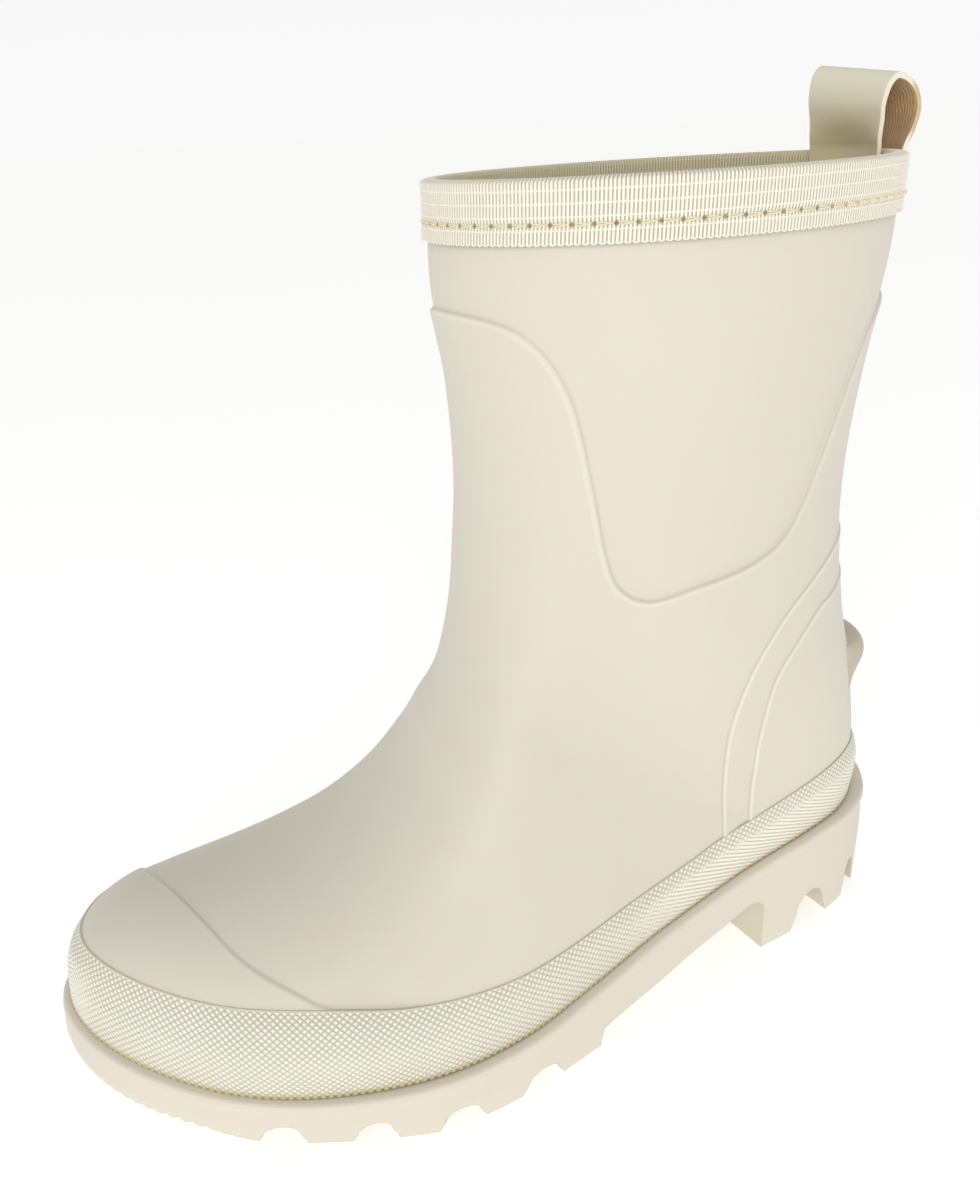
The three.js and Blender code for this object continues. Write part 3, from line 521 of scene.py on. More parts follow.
sole_top = along_foot(SOLE_TOP, 1, HEEL_SEAT)
toe_lift = along_foot(SOLE_BOTTOM, 1, TOE_SPRING)
vamp_ridge = along_foot(VAMP, 1, INSTEP_HEIGHT)
upper_margin = along_foot(MARGIN, 1, LIP_MARGIN)
foxing_margin = along_foot(MARGIN, 2, LIP_MARGIN)
foxing_height = along_foot(FOXING_TOP, 1, FOXING_HEIGHT)

outline_angles = [math.acos(1 - 2 * row[0]) for row in OUTLINE]
outer_half = curve(outline_angles, [row[1] * BALL_WIDTH for row in OUTLINE])
inner_half = curve(outline_angles, [row[2] * BALL_WIDTH for row in OUTLINE])

shaft_heights = [height_at(row[0]) for row in SHAFT]
shaft_middle = curve(shaft_heights, [row[2] * SOLE_LENGTH for row in SHAFT])
shaft_length = curve(shaft_heights, [row[3] * row[1][0] for row in SHAFT])
shaft_width = curve(shaft_heights, [row[4] * row[1][1] for row in SHAFT])
shaft_power = curve(shaft_heights, [row[5] for row in SHAFT])


def sole_bottom(x):
    return np.maximum(toe_lift(x), 0.0)


# The form of the last: negative inside, positive outside

TOE_ROUND_START = 0.795 * SOLE_LENGTH
UPPER_BACK = float(upper_margin(0.0))
UPPER_FRONT = SOLE_LENGTH - float(upper_margin(SOLE_LENGTH))
TINY = 0.05
PROBE = 0.05  # step of the form's gradient
HALVINGS = 24
MARGIN_POWER = 0.8  # how soon the upper's margin shrinks at heel and toe
ACROSS_POWER = 2.1  # squareness of the foot's cross section
UP_POWER = 1.8
NEAR_DISTANCE = 0.9  # brings the foot's value near a true distance


def foot_halves(x):
    share = np.clip((x - UPPER_BACK) / (UPPER_FRONT - UPPER_BACK), 0, 1)
    angle = np.arccos(1 - 2 * share)
    margin = upper_margin(x) * np.sin(angle) ** MARGIN_POWER
    return outer_half(angle) - margin, inner_half(angle) - margin


def foot_ridge(x):
    side = sole_top(x) + SIDE_HEIGHT
    turn = np.clip((x - TOE_ROUND_START) / (UPPER_FRONT - TOE_ROUND_START), 0, 1)
    return side + (vamp_ridge(x) - side) * np.cbrt(1 - turn**3)


def foot_body(x, y, z):
    outer, inner = foot_halves(x)
    middle = (outer - inner) / 2
    half = np.maximum((outer + inner) / 2, TINY)
    side = sole_top(x) + SIDE_HEIGHT
    rise = np.maximum(foot_ridge(x) - side, TINY)
    across = np.abs((y - middle) / half)
    up = np.maximum(z - side, 0) / rise
    beyond = np.maximum(np.maximum(UPPER_BACK - x, x - UPPER_FRONT), 0)
    radius = np.sqrt(across**ACROSS_POWER + up**UP_POWER)
    return (radius - 1) * np.minimum(half, rise) * NEAR_DISTANCE + beyond


def shaft_body(x, y, z):
    power = shaft_power(z)
    lengthwise = np.abs((x - shaft_middle(z)) / (shaft_length(z) / 2))
    across = np.abs(y / (shaft_width(z) / 2))
    return ((lengthwise**power + across**power) ** (1 / power) - 1) * (shaft_width(z) / 2)


def form(points):
    x, y, z = points[..., 0], points[..., 1], points[..., 2]
    foot = foot_body(x, y, z)
    shaft = shaft_body(x, y, z)
    front = rising(x / SOLE_LENGTH, *FRONT_BLEND)
    raised = smoothstep((z - sole_top(x) - SIDE_HEIGHT) / BLEND_RISE)
    blend = mix(HEEL_BLEND, INSTEP_BLEND, front * raised)
    share = np.clip(0.5 + 0.5 * (shaft - foot) / blend, 0, 1)
    body = mix(shaft, foot, share) - blend * share * (1 - share)
    return np.maximum(body, sole_top(x) - FLOOR_DROP - z)


def gradient(points):
    columns = []
    for axis in range(3):
        step = np.zeros(3)
        step[axis] = PROBE
        columns.append((form(points + step) - form(points - step)) / (2 * PROBE))
    return np.stack(columns, -1)


def normals(points):
    g = gradient(points)
    return g / np.maximum(np.linalg.norm(g, axis=-1, keepdims=True), 1e-9)


def surface(starts, directions):
    """Where rays from inside leave the form."""
    near = np.zeros(starts.shape[:-1])
    far = np.full(starts.shape[:-1], SOLE_LENGTH)
    for _ in range(HALVINGS):
        middle = (near + far) / 2
        inside = form(starts + directions * middle[..., None]) < 0
        near = np.where(inside, middle, near)
        far = np.where(inside, far, middle)
    return starts + directions * ((near + far) / 2)[..., None]


PIVOT = (0.82 * SOLE_LENGTH, ANKLE_HEIGHT + 0.18 * (COLLAR_HEIGHT - ANKLE_HEIGHT))
TOE_LEVEL = 0.35  # height of the toe rings' centres between the outsole and the ridge
TOE_END = 0.02  # room in front of the last ring
fan_reach = curve([row[0] for row in FAN], [row[1] * SOLE_LENGTH for row in FAN])


def toe_level(x):
    return float(mix(sole_top(x), foot_ridge(x), TOE_LEVEL))


def skin_grid(top, shaft, fan, toe, around):
    """Rings of points on the form: level down the shaft, fanned round the instep, upright over the toes."""
    centres = []
    forwards = []
    outer, inner = foot_halves(PIVOT[0])
    toe_middle = float(outer - inner) / 2
    for i in range(shaft):
        z = mix(top, PIVOT[1], i / shaft)
        centres.append((float(shaft_middle(z)), 0.0, z))
        forwards.append((1.0, 0.0, 0.0))
    for i in range(fan):
        turn = i / fan
        forward = (math.cos(math.pi / 2 * turn), 0.0, math.sin(math.pi / 2 * turn))
        reach = float(fan_reach(turn))
        shift = toe_middle * turn**2
        centres.append((PIVOT[0] - reach * forward[0], shift, PIVOT[1] - reach * forward[2]))
        forwards.append(forward)
    lift = PIVOT[1] - float(fan_reach(1)) - toe_level(PIVOT[0])
    for i in range(toe):
        share = math.sin(math.pi / 2 * (i + 0.5) / toe)
        x = mix(PIVOT[0], UPPER_FRONT - TOE_END, share)
        outer, inner = foot_halves(x)
        centres.append((x, float(outer - inner) / 2, toe_level(x) + lift * (1 - share) ** 2))
        forwards.append((0.0, 0.0, 1.0))
    angles = 2 * np.pi * np.arange(around) / around
    forwards = np.array(forwards)[:, None, :] * np.cos(angles)[None, :, None]
    sideways = np.zeros_like(forwards)
    sideways[..., 1] = np.sin(angles)[None, :]
    starts = np.repeat(np.array(centres)[:, None, :], around, axis=1)
    return surface(starts, forwards + sideways)


# Meshes


def placed(points):
    """Points of the boot's own frame, in metres in the row frame."""
    return (np.asarray(points, float) - BOX_MIDDLE) * MM


def mesh_object(name, points, faces, smooth=True):
    mesh = bpy.data.meshes.new(name)
    mesh.from_pydata(placed(points).tolist(), [], faces)
    mesh.polygons.foreach_set("use_smooth", [smooth] * len(mesh.polygons))
    mesh.update()
    piece = bpy.data.objects.new(name, mesh)
    bpy.context.scene.collection.objects.link(piece)
    return piece


def grid_faces(rows, columns, closed):
    spans = columns if closed else columns - 1
    i, j = np.meshgrid(np.arange(rows - 1), np.arange(spans), indexing="ij")
    k = (j + 1) % columns
    return np.stack([i * columns + j, i * columns + k, (i + 1) * columns + k, (i + 1) * columns + j], -1)


def grid_object(name, points, closed=False, u=None, v=None):
    """A mesh from rows of points, with UV in millimetres where u and v give them."""
    rows, columns = points.shape[:2]
    faces = grid_faces(rows, columns, closed)
    piece = mesh_object(name, points.reshape(-1, 3), faces.reshape(-1, 4).tolist())
    if u is not None:
        i, j = np.meshgrid(np.arange(rows - 1), np.arange(faces.shape[1]), indexing="ij")
        corners = [(i, j), (i, j + 1), (i + 1, j + 1), (i + 1, j)]
        coordinates = np.stack([np.stack([u[a, b], v[a, b]], -1) for a, b in corners], 2)
        layer = piece.data.uv_layers.new(name="UVMap")
        layer.data.foreach_set("uv", coordinates.reshape(-1))
    return piece


def attribute(piece, name, values):
    """A number on each vertex for the shaders."""
    layer = piece.data.attributes.new(name, "FLOAT", "POINT")
    layer.data.foreach_set("value", np.asarray(values, float))


def turned(piece):
    """The same piece with its faces turned to point out."""
    piece.data.flip_normals()
    return piece


def spline(points, steps):
    """Points along a smooth line through a few points."""
    rows = np.array(points, float)
    last = len(rows) - 1
    out = []
    for t in np.linspace(0, last, steps + 1):
        i = min(int(t), last)
        w = t - i
        a = rows[max(i - 1, 0)]
        b = rows[i]
        c = rows[min(i + 1, last)]
        d = rows[min(i + 2, last)]
        leaving = (c - a) / 2
        arriving = (d - b) / 2
        out.append(hermite(b, c, leaving, arriving, w))
    return np.array(out)


def signed_distance(points, outline):
    """Distance from 2D points to a closed outline, positive inside it."""
    best = np.full(len(points), 1e9)
    inside = np.zeros(len(points), bool)
    for a, b in zip(outline, np.roll(outline, -1, axis=0)):
        edge = b - a
        length = max(float(edge @ edge), 1e-12)
        t = np.clip(((points - a) @ edge) / length, 0, 1)
        best = np.minimum(best, np.linalg.norm(points - a - t[:, None] * edge, axis=1))
        crosses = (a[1] > points[:, 1]) != (b[1] > points[:, 1])
        rise = edge[1] if abs(edge[1]) > 1e-9 else 1e-9
        inside ^= crosses & (points[:, 0] < a[0] + (points[:, 1] - a[1]) / rise * edge[0])
    return np.where(inside, best, -best)


# Raised layers of the upper


def side_outline(edge, steps, drop, front):
    """A layer's outline from the side: its edge, closed below at a drop under its front end."""
    line = spline([(row[0] * SOLE_LENGTH, height_at(row[1])) for row in edge], steps)
    bottom = line[0][1] - drop
    corners = [(line[-1][0], bottom), (line[0][0] + front, bottom), (line[0][0] + front, line[0][1])]
    return np.vstack([line, corners])


OVERLAY_OUTLINE = side_outline(OVERLAY_EDGE, 96, 2 * COLLAR_HEIGHT, SOLE_LENGTH)
COUNTER_OUTLINES = [side_outline(edge, 60, COUNTER_TUCK, 0.0) for edge in COUNTER_EDGES]
TOE_CAP_LINE = spline([(row[0] * SOLE_LENGTH, row[1] * BALL_WIDTH) for row in TOE_CAP_EDGE], 60)
PAST_TOE = 250.0
TOE_CAP_OUTLINE = np.vstack([TOE_CAP_LINE, [(PAST_TOE, TOE_CAP_LINE[end][1]) for end in (-1, 0)]])


def layer_distances(points):
    """Signed distances to the overlay, the two counters and the toe cap, positive where they lie."""
    side = points[:, [0, 2]]
    distances = [signed_distance(side, OVERLAY_OUTLINE)]
    distances += [signed_distance(side, outline) for outline in COUNTER_OUTLINES]
    cap = signed_distance(points[:, :2], TOE_CAP_OUTLINE)
    distances.append(np.minimum(cap, points[:, 2] - TOE_CAP_FOOT))
    return distances


# The overlay, the two counters and the toe cap. columns: step, ridge along its edge, strength of the
# highlight painted on that ridge
LAYERS = [
    (OVERLAY_STEP, 0.06, 0.22),
    (COUNTER_STEP, 0.14, 0.5),
    (COUNTER_STEP, 0.14, 0.5),
    (TOE_CAP_STEP, 0.02, 0.05),
]


def relief(points):
    """Height of the upper's outer face above the form, with soft moulded steps."""
    height = np.full(len(points), SHAFT_FACE)
    for (step, ridge, _), distance in zip(LAYERS, layer_distances(points)):
        height += step * smoothstep(distance / EDGE_SOFT + 0.5)
        height += ridge * np.exp(-(((distance - RIDGE_PLACE) / RIDGE_WIDTH) ** 2))
    return height


# Soft creases where the boot bends. columns: start and end in mm, width, depth
CREASES = [
    ((110, -30, 84), (124, 26, 70), 7.0, 0.5),
    ((118, -22, 70), (132, 24, 60), 6.0, 0.35),
    ((84, 34, 96), (104, 30, 74), 9.0, 0.4),
    ((30, 32, 112), (62, 36, 98), 11.0, 0.35),
    ((84, -34, 98), (108, -28, 72), 9.0, 0.5),
    ((20, -30, 118), (60, -36, 102), 10.0, 0.4),
    ((96, -24, 148), (98, 26, 140), 12.0, 0.3),
]


def creases(points):
    """Shallow troughs along short lines, with a faint ridge beside each."""
    height = np.zeros(len(points))
    for start, end, width, depth in CREASES:
        a = np.array(start, float)
        line = np.array(end, float) - a
        share = np.clip(((points - a) @ line) / (line @ line), 0, 1)
        away = np.linalg.norm(points - a - share[:, None] * line, axis=1) / width
        height -= depth * (1 - 0.5 * away**2) * np.exp(-(away**2))
    return height


LEAST_SLOPE = 0.2  # of the form, squared, when a vertex is set on it
LONGEST_MOVE = 0.5  # of a vertex in one step


def refined(points, faces, bands):
    """The mesh with its faces near the layers' edges split, and every new vertex set on the form."""
    bm = bmesh.new()
    for p in points:
        bm.verts.new(p)
    bm.verts.ensure_lookup_table()
    for face in faces:
        bm.faces.new([bm.verts[k] for k in face])
    for band in bands:
        bm.verts.index_update()
        co = np.array([v.co for v in bm.verts])
        near = np.min(np.abs(np.stack(layer_distances(co))), axis=0) < band
        edges = [e for e in bm.edges if near[e.verts[0].index] and near[e.verts[1].index]]
        before = len(bm.verts)
        bmesh.ops.subdivide_edges(bm, edges=edges, cuts=1, use_grid_fill=True)
        bm.verts.ensure_lookup_table()
        added = [bm.verts[k] for k in range(before, len(bm.verts))]
        co = np.array([v.co for v in added])
        for _ in range(3):
            g = gradient(co)
            size = np.maximum((g**2).sum(-1, keepdims=True), LEAST_SLOPE)
            co = co - np.clip(form(co)[:, None] * g / size, -LONGEST_MOVE, LONGEST_MOVE)
        for vertex, place in zip(added, co):
            vertex.co = place
    bmesh.ops.triangulate(bm, faces=[f for f in bm.faces if len(f.verts) > 4])
    bm.verts.index_update()
    co = np.array([v.co for v in bm.verts])
    out = [[v.index for v in f.verts] for f in bm.faces]
    bm.free()
    return co, out


def above_sole(points, faces, rise):
    """The faces that reach more than a rise above the outsole's top."""
    z = points[:, 2] - sole_top(points[:, 0])
    return [face for face in faces if max(z[list(face)]) > rise]


def used_only(points, faces):
    """Points and faces without the points that no face uses."""
    used = sorted({k for face in faces for k in face})
    index = {k: n for n, k in enumerate(used)}
    return points[used], [[index[k] for k in face] for face in faces]


def skin(counts, rise):
    """The skin of the form, from the rim down to a rise above the outsole's top."""
    grid = skin_grid(RIM, *counts)
    rows, columns = grid.shape[:2]
    points = grid.reshape(-1, 3)
    faces = grid_faces(rows, columns, True).reshape(-1, 4).tolist()
    return used_only(points, above_sole(points, faces, rise))


UPPER_COUNTS = (30, 96, 22, 124)  # rings of the shaft, the fan and the toe, and points in each
LINING_COUNTS = (20, 50, 12, 90)
BANDS = (4.5, 2.2, 0.9)  # round the layers' edges, each split once more


def make_upper():
    points, faces = refined(*skin(UPPER_COUNTS, 1.0), BANDS)
    distances = layer_distances(points)
    points = points + normals(points) * (relief(points) + creases(points))[:, None]
    piece = mesh_object("upper_rubber", points, faces)
    for k, distance in enumerate(distances):
        attribute(piece, f"step_{k}", distance)
    return piece


def make_lining():
    points, faces = skin(LINING_COUNTS, 0.0)
    points = points + normals(points) * LINING_FACE
    return turned(mesh_object("lining", points, faces))


def back_face(y, z, offset):
    """Where the back of the shaft lies at places across it, moved out along its own normal."""
    start = y.copy()
    for _ in range(6):
        base = np.stack([shaft_middle(z), start, z], -1)
        direction = np.zeros_like(base)
        direction[..., 0] = -1
        point = surface(base, direction)
        point = point + normals(point) * np.asarray(offset)[..., None]
        start = start + y - point[..., 1]
    return point[..., 0]


SPUR_ROOTS = ((-0.02, -0.04), (-0.02, 1.02))  # ends of its section, in the upper
SPUR_SUNK = 0.1


def make_spur():
    stations = 90
    section = spline(SPUR_SECTION, 36)
    section = np.vstack([SPUR_ROOTS[:1], section, SPUR_ROOTS[1:]])
    side = -np.cos(np.pi * np.linspace(0, 1, stations + 1))
    y = SPUR_WIDTH / 2 * side
    reach = SPUR_REACH * np.sqrt(1 - np.minimum(side**4, 1))
    outermost = OVERLAY_FACE + COUNTER_STEP * len(COUNTER_EDGES)
    ys = np.repeat(y[:, None], len(section), axis=1)
    zs = np.repeat((SPUR_TOP - section[:, 1] * SPUR_HEIGHT)[None, :], len(y), axis=0)
    root = back_face(ys, zs, np.full(ys.shape, outermost - SPUR_SUNK))
    xs = root - section[None, :, 0] * reach[:, None]
    return grid_object("kick_spur", np.stack([xs, ys, zs], -1))


# Foxing


def lip_point(turn, inset):
    """Points of the outsole's lip, moved in along the plan's own normal, and that normal."""

    def at(t):
        t = np.mod(t, 2 * np.pi)
        angle = np.where(t <= np.pi, t, 2 * np.pi - t)
        x = SOLE_LENGTH * (1 - np.cos(angle)) / 2
        return np.stack([x, np.where(t <= np.pi, outer_half(angle), -inner_half(angle))], -1)

    step = 0.01
    before = at(turn - step)
    after = at(turn + step)
    inward = np.stack([after[:, 1] - before[:, 1], before[:, 0] - after[:, 0]], -1)
    inward /= np.linalg.norm(inward, axis=1, keepdims=True)
    return at(turn) + inward * np.asarray(inset).reshape(-1, 1), inward


def side_at(foot, inward, z, offset):
    """Where the upper's side stands at heights z, moved out level by an offset."""
    near = np.full(len(foot), -LIP_MARGIN)
    far = np.full(len(foot), 3 * LIP_MARGIN)
    for _ in range(HALVINGS):
        middle = (near + far) / 2
        place = foot + inward * middle[:, None]
        outside = form(np.column_stack([place, z])) > 0
        near = np.where(outside, middle, near)
        far = np.where(outside, far, middle)
    place = foot + inward * ((near + far) / 2)[:, None]
    level = normals(np.column_stack([place, z]))[:, :2]
    slope = np.linalg.norm(level, axis=1)
    move = np.asarray(offset) / np.maximum(slope, 0.5) / np.maximum(slope, 1e-6)
    return place + level * np.broadcast_to(move, slope.shape)[:, None]


def even_turns(count):
    """Turns round the lip whose points lie evenly spaced."""
    turn = np.linspace(0, 2 * np.pi, 4001)
    points, _ = lip_point(turn, np.zeros(len(turn)))
    length = lengths_along(points)
    return np.interp(np.linspace(0, length[-1], count, endpoint=False), length, turn)


def make_foxing():
    columns = 1500
    turn = even_turns(columns)
    lip, _ = lip_point(turn, np.zeros(columns))
    foot, inward = lip_point(turn, foxing_margin(lip[:, 0]))
    share_along = foot[:, 0] / SOLE_LENGTH
    base = sole_top(foot[:, 0]) + CLEARANCE
    top = sole_top(foot[:, 0]) + foxing_height(foot[:, 0])
    layers = COUNTER_STEP * len(COUNTER_EDGES) * falling(share_along, *COUNTER_CHANGE)
    layers = layers + TOE_CAP_STEP * rising(share_along, *TOE_CAP_CHANGE)
    thickness = OVERLAY_FACE + layers + CLEARANCE + FOXING_THICKNESS
    slim = TOE_SLIMNESS * rising(share_along, *SLIM_CHANGE)
    bulge = side_at(foot, inward, mix(base, top, 0.5), thickness + 0.1 - slim)
    profile = [foot, mix(foot, bulge, 0.8)]
    profile.append(side_at(foot, inward, mix(base, top, 0.8), thickness - 0.5 - 0.7 * slim))
    profile.append(side_at(foot, inward, top, OVERLAY_FACE + layers + FOXING_EDGE))
    shares = [0.0, 0.5, 0.8, 1.0]
    rows = 42
    face = []
    heights = []
    for share in np.linspace(0, 1, rows):
        face.append(between(profile, shares, share))
        heights.append(mix(base, top, share))
    face = np.array(face)
    heights = np.array(heights)
    along = lengths_along(closed_line(foot))
    along *= round(along[-1] / KNURL_PITCH) * KNURL_PITCH / along[-1]
    rise = np.linalg.norm(np.diff(np.dstack([face, heights]), axis=0), axis=2)
    up = np.vstack([np.zeros(columns), np.cumsum(rise, axis=0)])
    scallop = 0.2 * np.abs(np.cos(np.pi * along[:-1] / KNURL_PITCH))
    face[0] += -inward * scallop[:, None]
    heights[0] -= scallop
    roll = []
    for drop, push in ((0.05, 0.15), (0.25, 0.5), (0.6, 1.4)):
        offset = OVERLAY_FACE + layers + FOXING_EDGE - push
        roll.append(np.column_stack([side_at(foot, inward, top, offset), top - drop]))
    under = np.column_stack([foot + inward * 1.2, base])
    points = np.concatenate([[under], np.dstack([face, heights]), roll])
    v_rows = np.vstack([up[:1] - 1.0, up, np.repeat(up[-1:], len(roll), axis=0)])
    u_rows = repeated(along, len(points))
    v_rows = np.hstack([v_rows, v_rows[:, :1]])
    piece = turned(grid_object("foxing_rand", points, True, u_rows, v_rows))
    place = repeated(share_along, len(points))
    ribs = falling(place, *HEEL_RIBS) + rising(place, *TIP_RIBS)
    fade = falling(place, *HEEL_FADE)
    reach = np.vstack([up[:1], up, np.repeat(up[-1:], len(roll), axis=0)]) / up[-1:]
    from_toe = np.abs(along[:-1] - along[-1] / 2)
    attribute(piece, "from_toe", repeated(from_toe, len(points)).reshape(-1))
    attribute(piece, "ribs", (ribs * smoothstep((0.8 - reach) / 0.2)).reshape(-1))
    attribute(piece, "relief", ((1 - 0.8 * fade) * smoothstep((1 - reach) / 0.015)).reshape(-1))
    # Masks for the tan band at the foot, partly painted shade, and for the painted shade on the rolled top
    # edge.
    attribute(piece, "foot", (1 - smoothstep(reach / 0.09)).reshape(-1))
    attribute(piece, "rim", smoothstep((reach - 0.975) / 0.02).reshape(-1))
    return piece


def between(rows, shares, share):
    """A smooth curve through a few rows of points, at a share of the way."""
    last = len(rows) - 1
    i = min(int(np.searchsorted(shares, share, side="right")) - 1, last - 1)
    span = shares[i + 1] - shares[i]
    t = (share - shares[i]) / span

    def tangent(k):
        low, high = max(k - 1, 0), min(k + 1, last)
        return (rows[high] - rows[low]) / (shares[high] - shares[low])

    return hermite(rows[i], rows[i + 1], tangent(i) * span, tangent(i + 1) * span, t)


# Outsole


def toe_share(x):
    return rising(x / SOLE_LENGTH, *TOE_CHANGE)


def prism(name, outline, low, high, upright=False):
    """A closed prism from an outline, run across the boot or upwards."""
    outline = np.array(outline, float)
    count = len(outline)
    points = []
    for level in (low, high):
        for a, b in outline:
            points.append((a, b, level) if upright else (a, level, b))
    sides = [[k, (k + 1) % count, count + (k + 1) % count, count + k] for k in range(count)]
    faces = sides + [list(range(count))[::-1], list(range(count, 2 * count))]
    return outward(mesh_object(name, points, faces, smooth=False))


def outward(piece):
    """The same piece with every face pointing out."""
    bm = bmesh.new()
    bm.from_mesh(piece.data)
    bmesh.ops.recalc_face_normals(bm, faces=bm.faces)
    bm.to_mesh(piece.data)
    bm.free()
    return piece


def notch_outline(start, stop, lug):
    """A notch from the side: upright legs that lean out a little, under a round top."""
    left, right = start * SOLE_LENGTH, stop * SOLE_LENGTH
    middle = (left + right) / 2
    base = float(sole_bottom(middle))
    draft = NOTCH_DRAFT * (right - left)
    points = [(left - draft / 2, base - lug), (left, base)]
    for i in range(25):
        angle = math.pi * (1 - i / 24)
        half = (right - left) / 2 - draft
        height = mix(NOTCH_STRAIGHT, 1, math.sin(angle))
        points.append((middle + half * math.cos(angle), base + lug * height))
    return points + [(right, base), (right + draft / 2, base - lug)]


def inset_outline(inset, start, stop):
    """The lip's outline between two places, moved in from the sides."""
    steps = 40
    outer = []
    inner = []
    for i in range(steps + 1):
        x = mix(max(start, inset), min(stop, SOLE_LENGTH - inset), i / steps)
        angle = math.acos(1 - 2 * x / SOLE_LENGTH)
        inner.append((x, inset - float(inner_half(angle))))
        outer.insert(0, (x, float(outer_half(angle)) - inset))
    return inner + outer


def cut(piece, cutters):
    """Takes the cutters away from the piece, and then removes them."""
    for cutter in cutters:
        modifier = piece.modifiers.new("cut", "BOOLEAN")
        modifier.operation = "DIFFERENCE"
        modifier.solver = "EXACT"
        modifier.object = cutter
        evaluated = piece.evaluated_get(bpy.context.evaluated_depsgraph_get())
        mesh = bpy.data.meshes.new_from_object(evaluated)
        piece.modifiers.clear()
        piece.data = mesh
    for cutter in cutters:
        bpy.data.objects.remove(cutter)


def tread_cutters():
    """Notches between the side lugs, the arch, and the pockets between the bars."""
    cutters = []
    for start, stop, lug in NOTCHES:
        outline = notch_outline(start, stop, lug)
        middle = (start + stop) / 2 * SOLE_LENGTH
        angle = math.acos(1 - 2 * middle / SOLE_LENGTH)
        outer = float(outer_half(angle)) - LUG_DEPTH
        inner = LUG_DEPTH - float(inner_half(angle))
        cutters.append(prism("notch_outer", outline, max(outer, 2.0), BALL_WIDTH))
        cutters.append(prism("notch_inner", outline, -BALL_WIDTH, min(inner, -2.0)))
    arch = spline([(row[0] * SOLE_LENGTH, row[1] * BREAST_HEIGHT) for row in ARCH[:-2]], 60)
    arch = np.vstack([arch, [(row[0] * SOLE_LENGTH, row[1] * BREAST_HEIGHT) for row in ARCH[-2:]]])
    cutters.append(prism("arch", arch, -BALL_WIDTH, BALL_WIDTH))
    for start, stop, depth, bars in POCKETS:
        edges = [start] + [b for bar in bars for b in (bar, bar)] + [stop]
        half = BAR_LENGTH / 2 / SOLE_LENGTH
        for low, high in zip(edges[::2], edges[1::2]):
            low_x = (low + (half if low != start else 0)) * SOLE_LENGTH
            high_x = (high - (half if high != stop else 0)) * SOLE_LENGTH
            top = float(sole_bottom((low_x + high_x) / 2)) + depth
            outline = inset_outline(LUG_DEPTH + 1, low_x, high_x)
            cutters.append(prism("pocket", outline, -5, top, upright=True))
    return cutters


def make_outsole():
    columns = 1400
    turn = even_turns(columns)
    lip, _ = lip_point(turn, np.zeros(columns))
    x = lip[:, 0]
    toe = toe_share(x)
    top = sole_top(x)
    bottom = sole_bottom(x)
    length = np.arange(columns) / columns
    perimeter = lengths_along(closed_line(lip))[-1]
    teeth = 0.5 - 0.5 * np.cos(2 * np.pi * length * round(perimeter / TOOTH_PITCH))
    rows = []
    for inset, drop in LIP_RINGS:
        rows.append((inset - TOE_FLARE * toe, top - drop))
    for inset, drop in STEP_RINGS:
        rows.append((mix(inset, -0.25 * TOE_BUMPER, toe) - 0.8 * TOE_FLARE * toe, top - drop))
    for share in SIDE_RINGS:
        draft = SIDE_DRAFT * share
        swell = TOE_BUMPER * math.sin(math.pi * min(share * 0.85 + 0.12, 1.0))
        edge = FOOT_ROUND * toe * max(share - FOOT_EDGE, 0) / (1 - FOOT_EDGE)
        tooth = TOOTH_DEPTH * toe * teeth * float(rising(share, TOOTH_START, TOOTH_FADE))
        inset = mix(draft, draft - swell - 0.6 * TOE_FLARE, toe) + edge + tooth
        rows.append((inset, mix(top - STEP_DEPTH, bottom, share) + 0.25 * edge))
    rings = []
    for inset, height in rows:
        point, _ = lip_point(turn, inset)
        rings.append(np.column_stack([point, height]))
    points = np.array(rings)
    faces = grid_faces(len(rings), columns, True).reshape(-1, 4).tolist()
    last = (len(rings) - 1) * columns
    piece = outward(mesh_object("outsole_rubber", points.reshape(-1, 3), faces + strips(columns, 0, last)))
    cut(piece, tread_cutters())
    piece.data.polygons.foreach_set("use_smooth", [True] * len(piece.data.polygons))
    piece.data.set_sharp_from_angle(angle=SHARP_ANGLE)
    return piece


def strips(count, first, last):
    """Quads across the foot that close the top ring and the bottom ring."""
    faces = [[first, first + 1, first + count - 1], [last, last + count - 1, last + 1]]
    for i in range(1, count // 2 - 1):
        other = count - i
        faces.append([first + i, first + i + 1, first + other - 1, first + other])
        faces.append([last + other, last + other - 1, last + i + 1, last + i])
    i = count // 2 - 1
    faces.append([first + i, first + i + 1, first + i + 2])
    faces.append([last + i + 2, last + i + 1, last + i])
    return faces


# Collar binding


def collar_ring(z, offset, count):
    """Evenly spaced points round the shaft at a level, moved out by an offset, and their distance round."""
    angle = np.linspace(0, 2 * np.pi, 2401)[:-1] + np.pi
    direction = np.stack([np.cos(angle), np.sin(angle), np.zeros_like(angle)], -1)
    centre = np.broadcast_to(np.array([float(shaft_middle(z)), 0.0, z]), direction.shape)
    point = surface(centre, direction)
    point = point + normals(point) * offset
    point[:, 2] = z
    closed = closed_line(point)
    length = lengths_along(closed)
    at = np.linspace(0, length[-1], count, endpoint=False)
    return np.stack([np.interp(at, length, closed[:, k]) for k in range(3)], -1), length[-1]


BINDING_FACE = SHAFT_FACE + CLEARANCE + BINDING_THICKNESS


